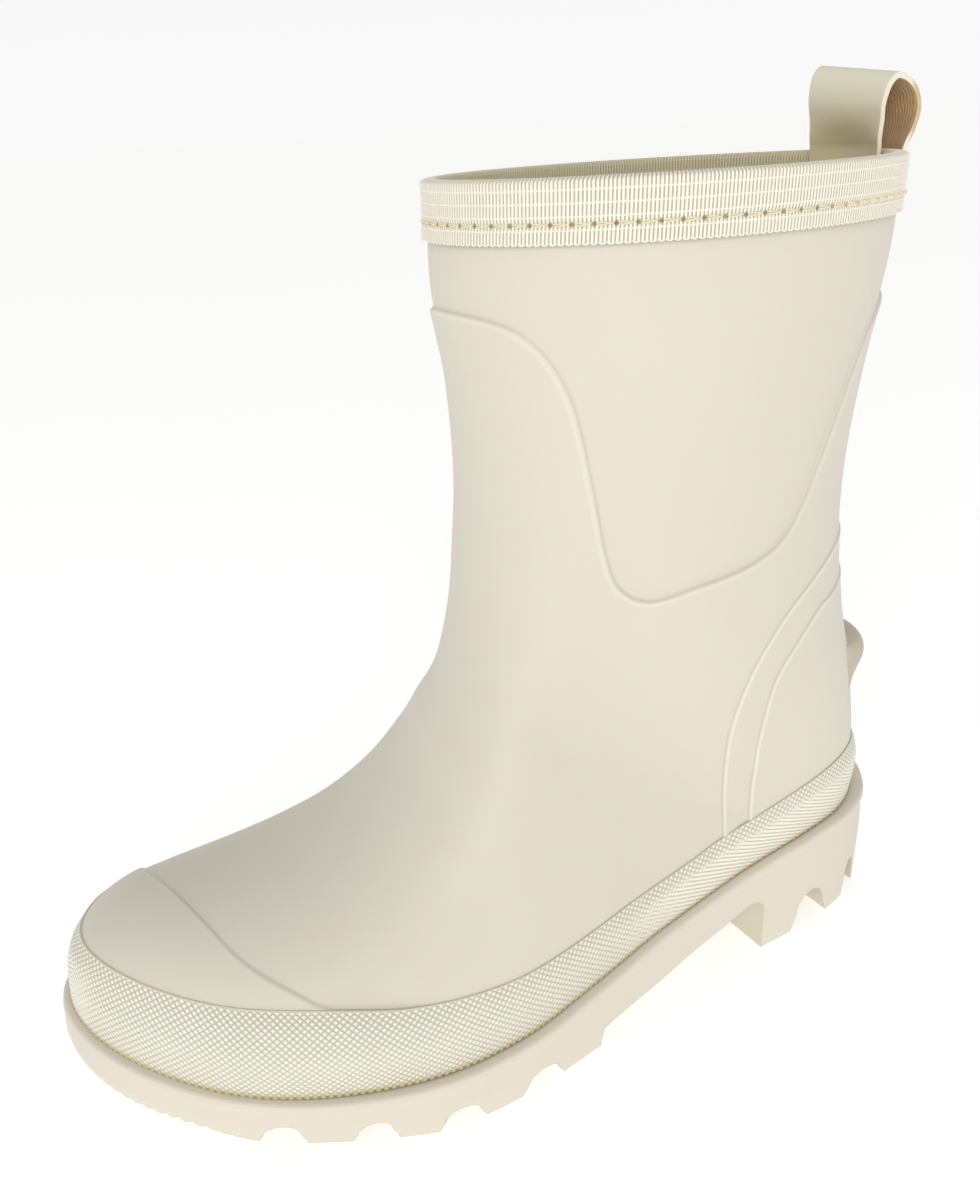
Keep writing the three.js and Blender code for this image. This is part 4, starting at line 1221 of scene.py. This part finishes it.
def make_binding():
    """The tape folded over the rim, and how many upright cords it has."""
    outside = BINDING_FACE
    inside = LINING_FACE - CLEARANCE - BINDING_THICKNESS
    _, perimeter = collar_ring(COLLAR_HEIGHT - BINDING_HEIGHT / 2, outside, 100)
    ribs = round(perimeter / RIB_PITCH)
    columns = ribs * CORD_COLUMNS
    bottom = COLLAR_HEIGHT - BINDING_HEIGHT
    levels = []
    for k in range(26):
        z = mix(bottom, COLLAR_HEIGHT - TAPE_ROUND, k / 25)
        levels.append((z, outside, z - bottom))
    middle = (outside + inside) / 2
    half = (outside - inside) / 2
    for k in range(1, 8):
        angle = math.pi * k / 8
        z = COLLAR_HEIGHT - TAPE_ROUND + TAPE_ROUND * math.sin(angle)
        levels.append((z, middle + half * math.cos(angle), BINDING_HEIGHT + half * angle))
    for k in range(8):
        z = mix(COLLAR_HEIGHT - TAPE_ROUND, bottom, k / 7)
        levels.append((z, inside, BINDING_HEIGHT + 2 * half + COLLAR_HEIGHT - z))
    phase = np.arange(columns) / CORD_COLUMNS
    rib = np.abs(np.sin(np.pi * phase))
    rows = []
    v_rows = []
    for z, offset, v in levels:
        ring, _ = collar_ring(z, offset, columns)
        picot = PICOT * np.abs(np.sin(np.pi * phase / 2)) if v == 0 else 0
        groove = 0.5 - 0.5 * math.cos(2 * math.pi * (v / TAPE_ROW))
        below = COLLAR_HEIGHT - STITCH_DROP - z
        seam = math.exp(-((below / SEAM_WIDTH) ** 2)) if offset == outside else 0.0
        high = RIB_DEPTH * ((rib - 0.6) * (0.4 + 0.6 * groove) + 0.15) - SEAM_DEPTH * seam
        centre = np.array([float(shaft_middle(z)), 0.0, z])
        away = ring - centre
        away[:, 2] = 0
        away /= np.linalg.norm(away, axis=1, keepdims=True)
        sign = math.cos(math.pi * (outside - offset) / (outside - inside))
        ring = ring + away * (high * sign)[:, None]
        ring[:, 2] = z - picot + high * (1 - abs(sign))
        rows.append(ring)
        v_rows.append(np.full(columns + 1, v))
    u = repeated(np.arange(columns + 1) / CORD_COLUMNS, len(rows))
    return grid_object("woven_binding", np.array(rows), True, u, np.array(v_rows)), ribs


def stitch_count():
    """How many stitches go round the tape."""
    _, perimeter = collar_ring(COLLAR_HEIGHT - STITCH_DROP, BINDING_FACE, 100)
    return round(perimeter / STITCH_PITCH)


def make_stitches():
    """A row of twisted stitches along the binding, each from one needle hole to the next."""
    z = COLLAR_HEIGHT - STITCH_DROP
    count = stitch_count()
    ring, _ = collar_ring(z, BINDING_FACE - 0.1, count * STITCH_PLACES)
    first, last = STITCH_REACH
    around = 7
    steps = 14
    points = []
    faces = []
    for k in range(count):
        for strand in (-1, 1):
            base = len(points)
            for s in range(steps + 1):
                t = s / steps
                at = (k * STITCH_PLACES + STITCH_PLACES // 2 + round(mix(first, last, t))) % len(ring)
                here = ring[at]
                travel = ring[(at + 1) % len(ring)] - here
                travel /= np.linalg.norm(travel)
                away = np.array([travel[1], -travel[0], 0.0])
                rise = math.sin(math.pi * t) ** 0.6
                twist = math.pi * (t + 0.25) + (math.pi if strand > 0 else 0)
                lift = STRAND_RISE * rise - STRAND_SINK + STRAND_SWING * math.cos(twist)
                climb = STRAND_TURN * math.sin(twist) + STRAND_DRIFT * (t - 0.5)
                centre = here + away * lift + np.array([0, 0, climb])
                stout = 1 + STRAND_STOUT * float(falling(here[0], STITCH_CHANGE, STITCH_FADE))
                radius = STRAND_RADIUS * stout * (0.5 + 0.5 * rise)
                for m in range(around):
                    angle = 2 * math.pi * m / around
                    spoke = away * math.cos(angle) + np.array([0, 0, math.sin(angle)])
                    points.append(centre + radius * spoke)
            faces += (grid_faces(steps + 1, around, True).reshape(-1, 4) + base).tolist()
            faces.append([base + m for m in range(around)][::-1])
            faces.append([base + steps * around + m for m in range(around)])
    return outward(mesh_object("stitching", np.array(points), faces))


# Pull loop


def make_strap():
    """The pull loop as a face, a back and two cut edges."""
    binding = CLEARANCE + BINDING_THICKNESS + STRAP_CLEARANCE
    legs = {
        "outer": SHAFT_FACE + binding + STRAP_THICKNESS / 2,
        "inner": LINING_FACE - binding - STRAP_THICKNESS / 2,
    }
    columns = 33
    y = STRAP_SHIFT + STRAP_WIDTH / 2 * np.sin(np.pi / 2 * np.linspace(-1, 1, columns))
    tuck = COLLAR_HEIGHT - STRAP_TUCK
    hold = mix(tuck, COLLAR_HEIGHT, STRAP_HOLD)

    def rim(leg, z):
        return back_face(y, np.full(columns, z), np.full(columns, legs[leg]))

    def straightened(places):
        slope = (places[-1] - places[0]) / STRAP_WIDTH
        return places.mean() + slope * (y - STRAP_SHIFT)

    rims = {leg: rim(leg, COLLAR_HEIGHT) for leg in legs}
    path = [(rim("outer", tuck), tuck), (rim("outer", hold), hold)]
    for over, bow, rise in LOOP:
        free = float(smoothstep(rise / LOOP_FREE))
        level = mix(rims["outer"], rims["inner"], over)
        straight = mix(straightened(rims["outer"]), straightened(rims["inner"]), over)
        away = -bow if over < 0.5 else bow
        path.append((mix(level, straight, free) + away * LOOP_BULGE, COLLAR_HEIGHT + rise * LOOP_RISE))
    path += [(rim("inner", hold), hold), (rim("inner", tuck), tuck)]
    lean = (y - STRAP_SHIFT) / (STRAP_WIDTH / 2)
    knots = []
    for xs, z in path:
        free = float(smoothstep((z - COLLAR_HEIGHT) / LOOP_RISE))
        knots.append(np.column_stack([xs + STRAP_TWIST * free * (1 - lean), z - STRAP_LEAN * free * lean]))
    knots = np.array(knots)
    steps = 150
    lines = np.array([spline(knots[:, j, :], steps) for j in range(columns)])
    travel = np.gradient(lines, axis=1)
    travel /= np.linalg.norm(travel, axis=2, keepdims=True)
    out = np.stack([-travel[..., 1], travel[..., 0]], -1)
    past = np.abs(y - STRAP_SHIFT) - (STRAP_WIDTH - STRAP_THICKNESS) / 2
    edge = np.clip(past / (STRAP_THICKNESS / 2), 0, 1)
    thick = STRAP_THICKNESS / 2 * mix(EDGE_THICKNESS, 1, np.sqrt(1 - edge**2))
    length = lengths_along(lines[columns // 2])
    pieces = []
    for name, sign in (("strap_face", 1), ("strap_back", -1)):
        flat = lines + out * (sign * thick)[:, None, None]
        ys = np.repeat(y[:, None], steps + 1, axis=1)
        points = np.stack([flat[..., 0], ys, flat[..., 1]], -1)
        u = np.repeat((y - STRAP_SHIFT)[:, None], steps + 1, axis=1)
        v = repeated(length, columns)
        piece = grid_object(name, points, False, u, v)
        pieces.append(piece if sign > 0 else turned(piece))
    rims_points = []
    for j in (0, columns - 1):
        ring = []
        for sign in (1, 0, -1):
            flat = lines[j] + out[j] * sign * thick[j]
            swell = EDGE_SWELL if sign == 0 else 0.0
            place = y[j] + (swell if j else -swell)
            ring.append(np.column_stack([flat[:, 0], np.full(steps + 1, place), flat[:, 1]]))
        rims_points.append(np.array(ring))
    for name, ring in zip(("strap_edge_inner", "strap_edge_outer"), rims_points):
        piece = grid_object(name, ring)
        pieces.append(piece if name.endswith("inner") else turned(piece))
    return pieces


# Materials

NOISE_ROUGHNESS = 0.55
STEP_BUMP = 0.00018  # metres
RIDGE_HIGHLIGHT_PLACE = 0.75  # of the highlight painted on a step's ridge, from the step's middle
RIDGE_HIGHLIGHT_FALL = 1.7


def linear(red, green, blue):
    """A screen colour of 0 to 255 as the linear one that shaders take."""
    shares = [c / 255 for c in (red, green, blue)]
    return tuple(s / 12.92 if s <= 0.04045 else ((s + 0.055) / 1.055) ** 2.4 for s in shares)


def row_x(x):
    """A place along the boot, in metres in the row frame."""
    return float(x - BOX_MIDDLE[0]) * MM


class Nodes:
    """A short way to add and link shader nodes."""

    def __init__(self, name):
        self.material = bpy.data.materials.new(name)
        self.material.use_nodes = True
        self.tree = self.material.node_tree
        self.shader = self.tree.nodes["Principled BSDF"]

    def add(self, kind, inputs=None, **settings):
        node = self.tree.nodes.new(kind)
        for key, value in settings.items():
            setattr(node, key, value)
        for key, value in (inputs or {}).items():
            if isinstance(value, bpy.types.NodeSocket):
                self.tree.links.new(value, node.inputs[key])
            else:
                node.inputs[key].default_value = value
        return node

    def math(self, operation, a, b=0.0):
        return self.add("ShaderNodeMath", {0: a, 1: b}, operation=operation).outputs[0]

    def times(self, a, b):
        return self.math("MULTIPLY", a, b)

    def minus(self, a, b):
        return self.math("SUBTRACT", a, b)

    def waves(self, value, rate, wave="SINE"):
        """Humps of height 1 along a value."""
        return self.math("ABSOLUTE", self.math(wave, self.times(value, rate)))

    def place(self, axis):
        """One coordinate of the surface in metres, in the row frame."""
        place = self.add("ShaderNodeTexCoord").outputs["Object"]
        return self.add("ShaderNodeSeparateXYZ", {"Vector": place}).outputs[axis]

    def uv(self):
        """The two lengths along the surface, in millimetres or in cords."""
        uv = self.add("ShaderNodeUVMap", uv_map="UVMap").outputs["UV"]
        split = self.add("ShaderNodeSeparateXYZ", {"Vector": uv})
        return split.outputs["X"], split.outputs["Y"]

    def value(self, name):
        """A number that the mesh holds."""
        return self.add("ShaderNodeAttribute", attribute_name=name).outputs["Fac"]

    def noise(self, scale, detail=3.0):
        place = self.add("ShaderNodeTexCoord").outputs["Object"]
        inputs = {"Vector": place, "Scale": scale, "Detail": detail, "Roughness": NOISE_ROUGHNESS}
        return self.add("ShaderNodeTexNoise", inputs).outputs["Fac"]

    def ramp(self, value, low, high, **settings):
        """0 at low and 1 at high."""
        inputs = {"Value": value, "From Min": low, "From Max": high}
        return self.add("ShaderNodeMapRange", inputs, **settings).outputs["Result"]

    def between(self, factor, low, high):
        """A number that runs from low to high with the factor."""
        inputs = {"Value": factor, "To Min": low, "To Max": high}
        return self.add("ShaderNodeMapRange", inputs).outputs["Result"]

    def number(self, factor, first, second):
        """Two numbers that are already sockets, mixed."""
        return self.add("ShaderNodeMix", {"Factor": factor, "A": first, "B": second}).outputs["Result"]

    def blend(self, factor, first, second):
        """Two colours, mixed by a factor that may be a plain share."""
        node = self.add("ShaderNodeMix", data_type="RGBA")
        for key, value in (("Factor", factor), ("A", first), ("B", second)):
            if isinstance(value, bpy.types.NodeSocket):
                self.tree.links.new(value, node.inputs[key])
            else:
                node.inputs[key].default_value = value if key == "Factor" else (*value, 1)
        return node.outputs["Result"]

    def mottled(self, scale, first, second, detail=3.0):
        """Two screen colours, mixed in soft spots."""
        return self.blend(self.noise(scale, detail), linear(*first), linear(*second))

    def bump(self, height, distance, strength=1.0, normal=None):
        inputs = {"Height": height, "Distance": distance, "Strength": strength}
        if normal is not None:
            inputs["Normal"] = normal
        return self.add("ShaderNodeBump", inputs).outputs["Normal"]

    def set(self, values):
        for name, value in values.items():
            if isinstance(value, bpy.types.NodeSocket):
                self.tree.links.new(value, self.shader.inputs[name])
            else:
                self.shader.inputs[name].default_value = value


def step_edges(n, base, cloud):
    """Painted shade as a fine dark line at the foot of each moulded step, a painted highlight along the
    ridge beside it, and the steps' own bump.
    """
    risen = []
    for k, (_, _, highlight_strength) in enumerate(LAYERS):
        step = n.value(f"step_{k}")
        rise = n.ramp(step, -EDGE_LINE, EDGE_LINE, interpolation_type="SMOOTHSTEP")
        line = n.times(rise, n.minus(1.0, rise))
        # Painted shade: a fine dark line in the crease at the step's foot.
        base = n.blend(line, base, n.blend(cloud, linear(170, 160, 132), linear(184, 174, 148)))
        # Painted highlight: paler colour along the ridge beside the step.
        away = n.math("ABSOLUTE", n.times(n.minus(step, RIDGE_HIGHLIGHT_PLACE), RIDGE_HIGHLIGHT_FALL))
        painted_ridge_highlight = n.times(n.math("MAXIMUM", n.minus(1.0, away), 0.0), highlight_strength)
        base = n.blend(painted_ridge_highlight, base, n.blend(cloud, linear(240, 236, 222), linear(246, 243, 231)))
        risen.append(rise)
    total = risen[0]
    for rise in risen[1:]:
        total = n.math("ADD", total, rise)
    return base, n.bump(total, STEP_BUMP)


def rubber(name, light, dark, low, high, rounded=0.0, stepped=False):
    """Satin rubber: a faint cloudiness, a fine grain and uneven gloss."""
    n = Nodes(name)
    cloud = n.noise(28.0, 4.0)
    base = n.blend(n.between(cloud, 0.15, 0.85), linear(*dark), linear(*light))
    normal = None
    if rounded:
        normal = n.add("ShaderNodeBevel", {"Radius": rounded}, samples=6).outputs["Normal"]
    # Moulded steps get a painted shade line and a painted ridge highlight.
    if stepped:
        base, normal = step_edges(n, base, cloud)
    swell = n.bump(n.noise(45.0, 2.0), 0.0003, 0.5, normal)
    n.set({
        "Base Color": base,
        "Roughness": n.between(n.noise(160.0, 4.0), low, high),
        "Normal": n.bump(n.noise(1400.0, 2.0), 0.00002, 0.5, swell),
        "Specular IOR Level": 0.4,
        "Coat Weight": 0.08,
        "Coat Roughness": 0.4,
        "Subsurface Weight": 0.06,
        "Subsurface Scale": 0.0015,
    })
    return n.material


def foxing_rubber():
    """The same rubber with fine diamonds that run into slanting ribs, its valleys darker than its tops as
    painted shade, its rolled top edge greyed as painted shade, and a tan band at its foot that is partly
    the glue line's tint and partly painted shade.
    """
    n = Nodes("foxing_rubber")
    u, v = n.uv()
    first = n.times(u, math.pi / KNURL_PITCH)
    second = n.times(v, math.pi / (2 * KNURL_ROW))
    a = n.math("COSINE", n.math("ADD", first, second))
    b = n.math("COSINE", n.minus(first, second))
    diamonds = n.math("POWER", n.math("ABSOLUTE", n.times(a, b)), 0.6)
    along = n.times(n.value("from_toe"), math.pi * math.sin(RIB_SLANT) / SLANT_PITCH)
    across = n.times(v, math.pi * math.cos(RIB_SLANT) / SLANT_PITCH)
    ribs = n.math("POWER", n.waves(n.math("ADD", along, across), 1.0, "COSINE"), 0.7)
    pattern = n.number(n.times(n.value("ribs"), 0.8), diamonds, ribs)
    height = n.minus(1.0, n.times(n.minus(1.0, pattern), n.value("relief")))
    # Painted shade: the knurl's valleys darker than its tops.
    lit_knurl_tops = n.mottled(30.0, (246, 243, 229), (251, 249, 236), 4.0)
    painted_valley_shade = n.mottled(60.0, (202, 194, 168), (212, 205, 180))
    dressed = n.blend(n.between(height, 0.0, 1.0), painted_valley_shade, lit_knurl_tops)
    # Painted shade on the rolled top edge, where the foxing meets the upper.
    dressed = n.blend(n.value("rim"), dressed, n.mottled(80.0, (198, 192, 171), (210, 204, 184)))
    # Tan band at the foot: partly the glue line's own tint, partly painted shade in the crevice above the
    # lip.
    foot_tint_and_shade = n.mottled(80.0, (202, 190, 142), (214, 204, 162))
    fine = n.bump(n.noise(1500.0, 2.0), 0.00002, 0.5)
    n.set({
        "Base Color": n.blend(n.value("foot"), dressed, foot_tint_and_shade),
        "Roughness": n.between(n.noise(300.0), 0.42, 0.58),
        "Normal": n.bump(height, KNURL_DEPTH * MM, 1.0, fine),
        "Coat Weight": 0.1,
        "Coat Roughness": 0.35,
        "Subsurface Weight": 0.05,
        "Subsurface Scale": 0.0012,
    })
    return n.material


def needle_holes(n, u, v, holes):
    """Painted shade in the needle holes: dark spots between the stitches, which fade towards the back."""
    spacing = n.waves(u, math.pi * holes)
    drop = n.math("ABSOLUTE", n.minus(v, BINDING_HEIGHT - STITCH_DROP))
    reach = n.math("ADD", n.times(n.minus(1.0, spacing), 7.0), n.times(drop, 1.5))
    seen = n.ramp(n.place("X"), row_x(STITCH_CHANGE - STITCH_FADE), row_x(STITCH_CHANGE))
    return n.times(n.ramp(reach, 0.9, 0.3), seen)


def woven_tape(holes):
    """Pale upright cords over a tan ground, held by level threads, darker down the inside as painted shade,
    with painted shade in the stitches' needle holes.
    """
    n = Nodes("woven_tape")
    u, v = n.uv()
    cord = n.waves(u, math.pi)
    held = n.ramp(n.waves(v, math.pi / TAPE_ROW), 0.34, 0.16)
    cover = n.math("MAXIMUM", n.ramp(cord, 0.2, 0.6), held)
    pale = n.mottled(500.0, (236, 230, 212), (246, 242, 228))
    woven = n.blend(cover, n.mottled(120.0, (196, 184, 148), (222, 212, 184)), pale)
    # Painted shade: the tape down the inside of the shaft is a darker copy of the outside.
    shade = n.mottled(200.0, (186, 174, 132), (204, 192, 152))
    inner = n.blend(cover, shade, n.mottled(400.0, (206, 197, 164), (218, 210, 180)))
    woven = n.blend(n.ramp(v, INNER_TAPE, INNER_TAPE + 1.5), woven, inner)
    # The needle holes' dark spots are painted shade; their dip is a bump.
    hole = needle_holes(n, u, v, holes)
    height = n.minus(n.math("ADD", cover, n.times(cord, 0.4)), n.times(hole, 1.5))
    n.set({
        "Base Color": n.blend(hole, woven, n.mottled(400.0, (150, 130, 88), (178, 160, 118))),
        "Normal": n.bump(height, 0.0002, 0.9, n.bump(n.noise(2200.0), 0.00004, 0.6)),
        "Roughness": n.between(n.noise(700.0), 0.7, 0.9),
        "Sheen Weight": 0.15,
    })
    return n.material


def thread():
    """Twisted sewing thread."""
    n = Nodes("thread")
    n.set({
        "Base Color": n.mottled(900.0, (222, 211, 176), (240, 232, 206)),
        "Normal": n.bump(n.noise(2500.0), 0.00008, 0.8),
        "Roughness": n.between(n.noise(1500.0), 0.6, 0.85),
        "Sheen Weight": 0.2,
    })
    return n.material


def strap_coating():
    """A smooth coated band, greyer cream on top and tan towards the rim."""
    n = Nodes("strap_coating")
    low, high = COLLAR_HEIGHT * MM, (COLLAR_HEIGHT + LOOP_RISE) * MM
    rise = n.ramp(n.place("Z"), low, mix(low, high, 0.9), interpolation_type="SMOOTHSTEP")
    graded = n.blend(rise, linear(203, 190, 148), linear(236, 231, 209))
    spots = n.mottled(90.0, (204, 195, 164), (224, 219, 198), 4.0)
    n.set({
        "Base Color": n.blend(0.15, graded, spots),
        "Roughness": n.between(n.noise(200.0), 0.38, 0.52),
        "Normal": n.bump(n.noise(900.0, 3.0), 0.00004, 0.6),
        "Coat Weight": 0.15,
        "Coat Roughness": 0.35,
    })
    return n.material


def strap_edge():
    """The band's cut edge: pale on the front leg, golden knit on the back leg."""
    n = Nodes("strap_edge")
    front = n.ramp(n.place("X"), row_x(EDGE_CHANGE), row_x(EDGE_CHANGE + EDGE_FADE))
    golden = n.mottled(900.0, (184, 160, 112), (224, 206, 160), 4.0)
    n.set({
        "Base Color": n.blend(front, golden, n.mottled(220.0, (232, 226, 206), (243, 238, 222), 5.0)),
        "Normal": n.bump(n.noise(1300.0, 4.0), 0.0002, 0.8),
        "Roughness": n.between(n.noise(500.0), 0.7, 0.9),
    })
    return n.material


def knit(name, light, dark, pitch):
    """Ribbed knit cloth: its rib tops paler as a painted highlight, patchy with the yarn's own uneven tone.
    """
    n = Nodes(name)
    u, v = n.uv()
    wander = n.math("ADD", u, n.between(n.noise(260.0, 4.0), -0.7 * pitch, 0.7 * pitch))
    rib = n.waves(wander, math.pi / pitch)
    loop = n.waves(v, math.pi / (0.7 * pitch))
    n.set({
        # Painted highlight on the rib tops, patchy with the yarn's own uneven tone.
        "Base Color": n.blend(n.times(rib, n.noise(700.0, 4.0)), linear(*dark), linear(*light)),
        "Normal": n.bump(n.math("ADD", rib, n.times(loop, 0.4)), 0.00015, 0.9),
        "Roughness": n.between(n.noise(600.0), 0.75, 0.95),
        "Sheen Weight": 0.25,
    })
    return n.material


def cloth(name, light, dark):
    """Plain knitted lining, with no UV of its own."""
    n = Nodes(name)
    n.set({
        "Base Color": n.mottled(220.0, dark, light, 5.0),
        "Normal": n.bump(n.noise(1300.0, 4.0), 0.0003, 0.8),
        "Roughness": n.between(n.noise(500.0), 0.8, 0.97),
        "Sheen Weight": 0.2,
    })
    return n.material


# Stage

CAMERA_PLACE = (214.33, 222.90, 189.76)
CAMERA_AZIMUTH = math.radians(63.836)
CAMERA_ELEVATION = math.radians(21.16)
CAMERA_ROLL = math.radians(-3.232)
SENSOR = 36.0
PHOTO_HEIGHT = 1200
FOCAL_PIXELS = 1223.6
FLOOR_REACH = 60.0
FLOOR_GLOW = 0.4
HORIZON_LIGHT = 0.95
ZENITH_LIGHT = 0.46
LAMP_TARGET = Vector((0, 0, 0.08))
LAMP_AZIMUTH = math.radians(57)
LAMP_ELEVATION = math.radians(24)
LAMP_DISTANCE = 1.6
LAMP_SIZE = 0.9
LAMP_WATTS = 8.2


def direction(azimuth, elevation):
    level = math.cos(elevation)
    return Vector((math.cos(azimuth) * level, math.sin(azimuth) * level, math.sin(elevation)))


def make_camera():
    camera = bpy.data.objects.new("camera", bpy.data.cameras.new("camera"))
    bpy.context.scene.collection.objects.link(camera)
    back = direction(CAMERA_AZIMUTH, CAMERA_ELEVATION)
    right = (-back).cross(Vector((0, 0, 1))).normalized()
    up = right.cross(-back)
    rolled_right = right * math.cos(CAMERA_ROLL) + up * math.sin(CAMERA_ROLL)
    rolled_up = up * math.cos(CAMERA_ROLL) - right * math.sin(CAMERA_ROLL)
    rotation = Matrix((rolled_right, rolled_up, back)).transposed().to_4x4()
    camera.matrix_world = Matrix.Translation(Vector(placed(CAMERA_PLACE))) @ rotation
    camera.data.sensor_width = SENSOR
    camera.data.lens = SENSOR * FOCAL_PIXELS / PHOTO_HEIGHT
    camera.data.clip_start = 0.01
    camera.data.clip_end = 200
    bpy.context.scene.camera = camera


def make_light():
    """One soft key lamp."""
    light = bpy.data.lights.new("key", "AREA")
    light.shape = "DISK"
    light.size = LAMP_SIZE
    light.energy = LAMP_WATTS
    lamp = bpy.data.objects.new("key", light)
    away = direction(LAMP_AZIMUTH, LAMP_ELEVATION)
    lamp.location = LAMP_TARGET + away * LAMP_DISTANCE
    lamp.rotation_euler = (-away).to_track_quat("-Z", "Y").to_euler()
    bpy.context.scene.collection.objects.link(lamp)
    bpy.context.scene.view_settings.view_transform = "Standard"
    bpy.context.scene.view_settings.look = "None"


def make_world():
    """A studio tent: bright round the horizon, dimmer overhead."""
    world = bpy.data.worlds.new("studio")
    world.use_nodes = True
    nodes = world.node_tree.nodes
    links = world.node_tree.links
    place = nodes.new("ShaderNodeTexCoord")
    split = nodes.new("ShaderNodeSeparateXYZ")
    ramp = nodes.new("ShaderNodeMapRange")
    ramp.interpolation_type = "SMOOTHSTEP"
    limits = {"From Min": 0.0, "From Max": 0.9, "To Min": HORIZON_LIGHT, "To Max": ZENITH_LIGHT}
    for name, value in limits.items():
        ramp.inputs[name].default_value = value
    links.new(place.outputs["Generated"], split.inputs["Vector"])
    links.new(split.outputs["Z"], ramp.inputs["Value"])
    links.new(ramp.outputs["Result"], nodes["Background"].inputs["Strength"])
    nodes["Background"].inputs["Color"].default_value = (1, 1, 1, 1)
    bpy.context.scene.world = world


def make_stage():
    """A round pale floor that glows a little, so that it meets the tent unseen."""
    sides = 64
    points = [(0.0, 0.0, 0.0)]
    for k in range(sides):
        angle = 2 * math.pi * k / sides
        points.append((FLOOR_REACH * math.cos(angle), FLOOR_REACH * math.sin(angle), 0.0))
    faces = [(0, k, k % sides + 1) for k in range(1, sides + 1)]
    mesh = bpy.data.meshes.new("floor")
    mesh.from_pydata(points, [], faces)
    floor = bpy.data.objects.new("floor", mesh)
    bpy.context.scene.collection.objects.link(floor)
    n = Nodes("floor")
    n.set({
        "Base Color": n.blend(n.noise(2.0), (0.9, 0.9, 0.89), (0.92, 0.92, 0.91)),
        "Roughness": 0.9,
        "Emission Color": (1, 1, 1, 1),
        "Emission Strength": FLOOR_GLOW,
    })
    floor.data.materials.append(n.material)


# Assembly


def finish_piece(piece, material, node=None):
    piece.data.materials.clear()
    piece.data.materials.append(material)
    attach(piece, "root")
    if node:
        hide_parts(node)


def main():
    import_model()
    cream = rubber("upper_rubber", (219, 213, 198), (214, 207, 192), 0.46, 0.58, stepped=True)
    sole = rubber("outsole_rubber", (222, 215, 199), (215, 208, 192), 0.48, 0.6, 0.0005)
    finish_piece(make_upper(), cream, "upper")
    finish_piece(make_spur(), cream)
    finish_piece(make_lining(), cloth("lining", (196, 178, 142), (176, 156, 120)))
    finish_piece(make_foxing(), foxing_rubber(), "foxing")
    finish_piece(make_outsole(), sole, "outsole")
    binding, cords = make_binding()
    finish_piece(binding, woven_tape(stitch_count() / cords), "collar_binding")
    finish_piece(make_stitches(), thread())
    face, back, *edges = make_strap()
    finish_piece(face, strap_coating(), "pull_loop")
    finish_piece(back, knit("strap_knit", (232, 204, 156), (186, 152, 106), 0.9))
    cut_edge = strap_edge()
    for edge in edges:
        finish_piece(edge, cut_edge)
    insole = bpy.data.objects["insole"]
    insole.data.materials.clear()
    insole.data.materials.append(cloth("insole", (206, 192, 160), (188, 172, 138)))
    make_camera()
    make_world()
    make_stage()
    make_light()


main()
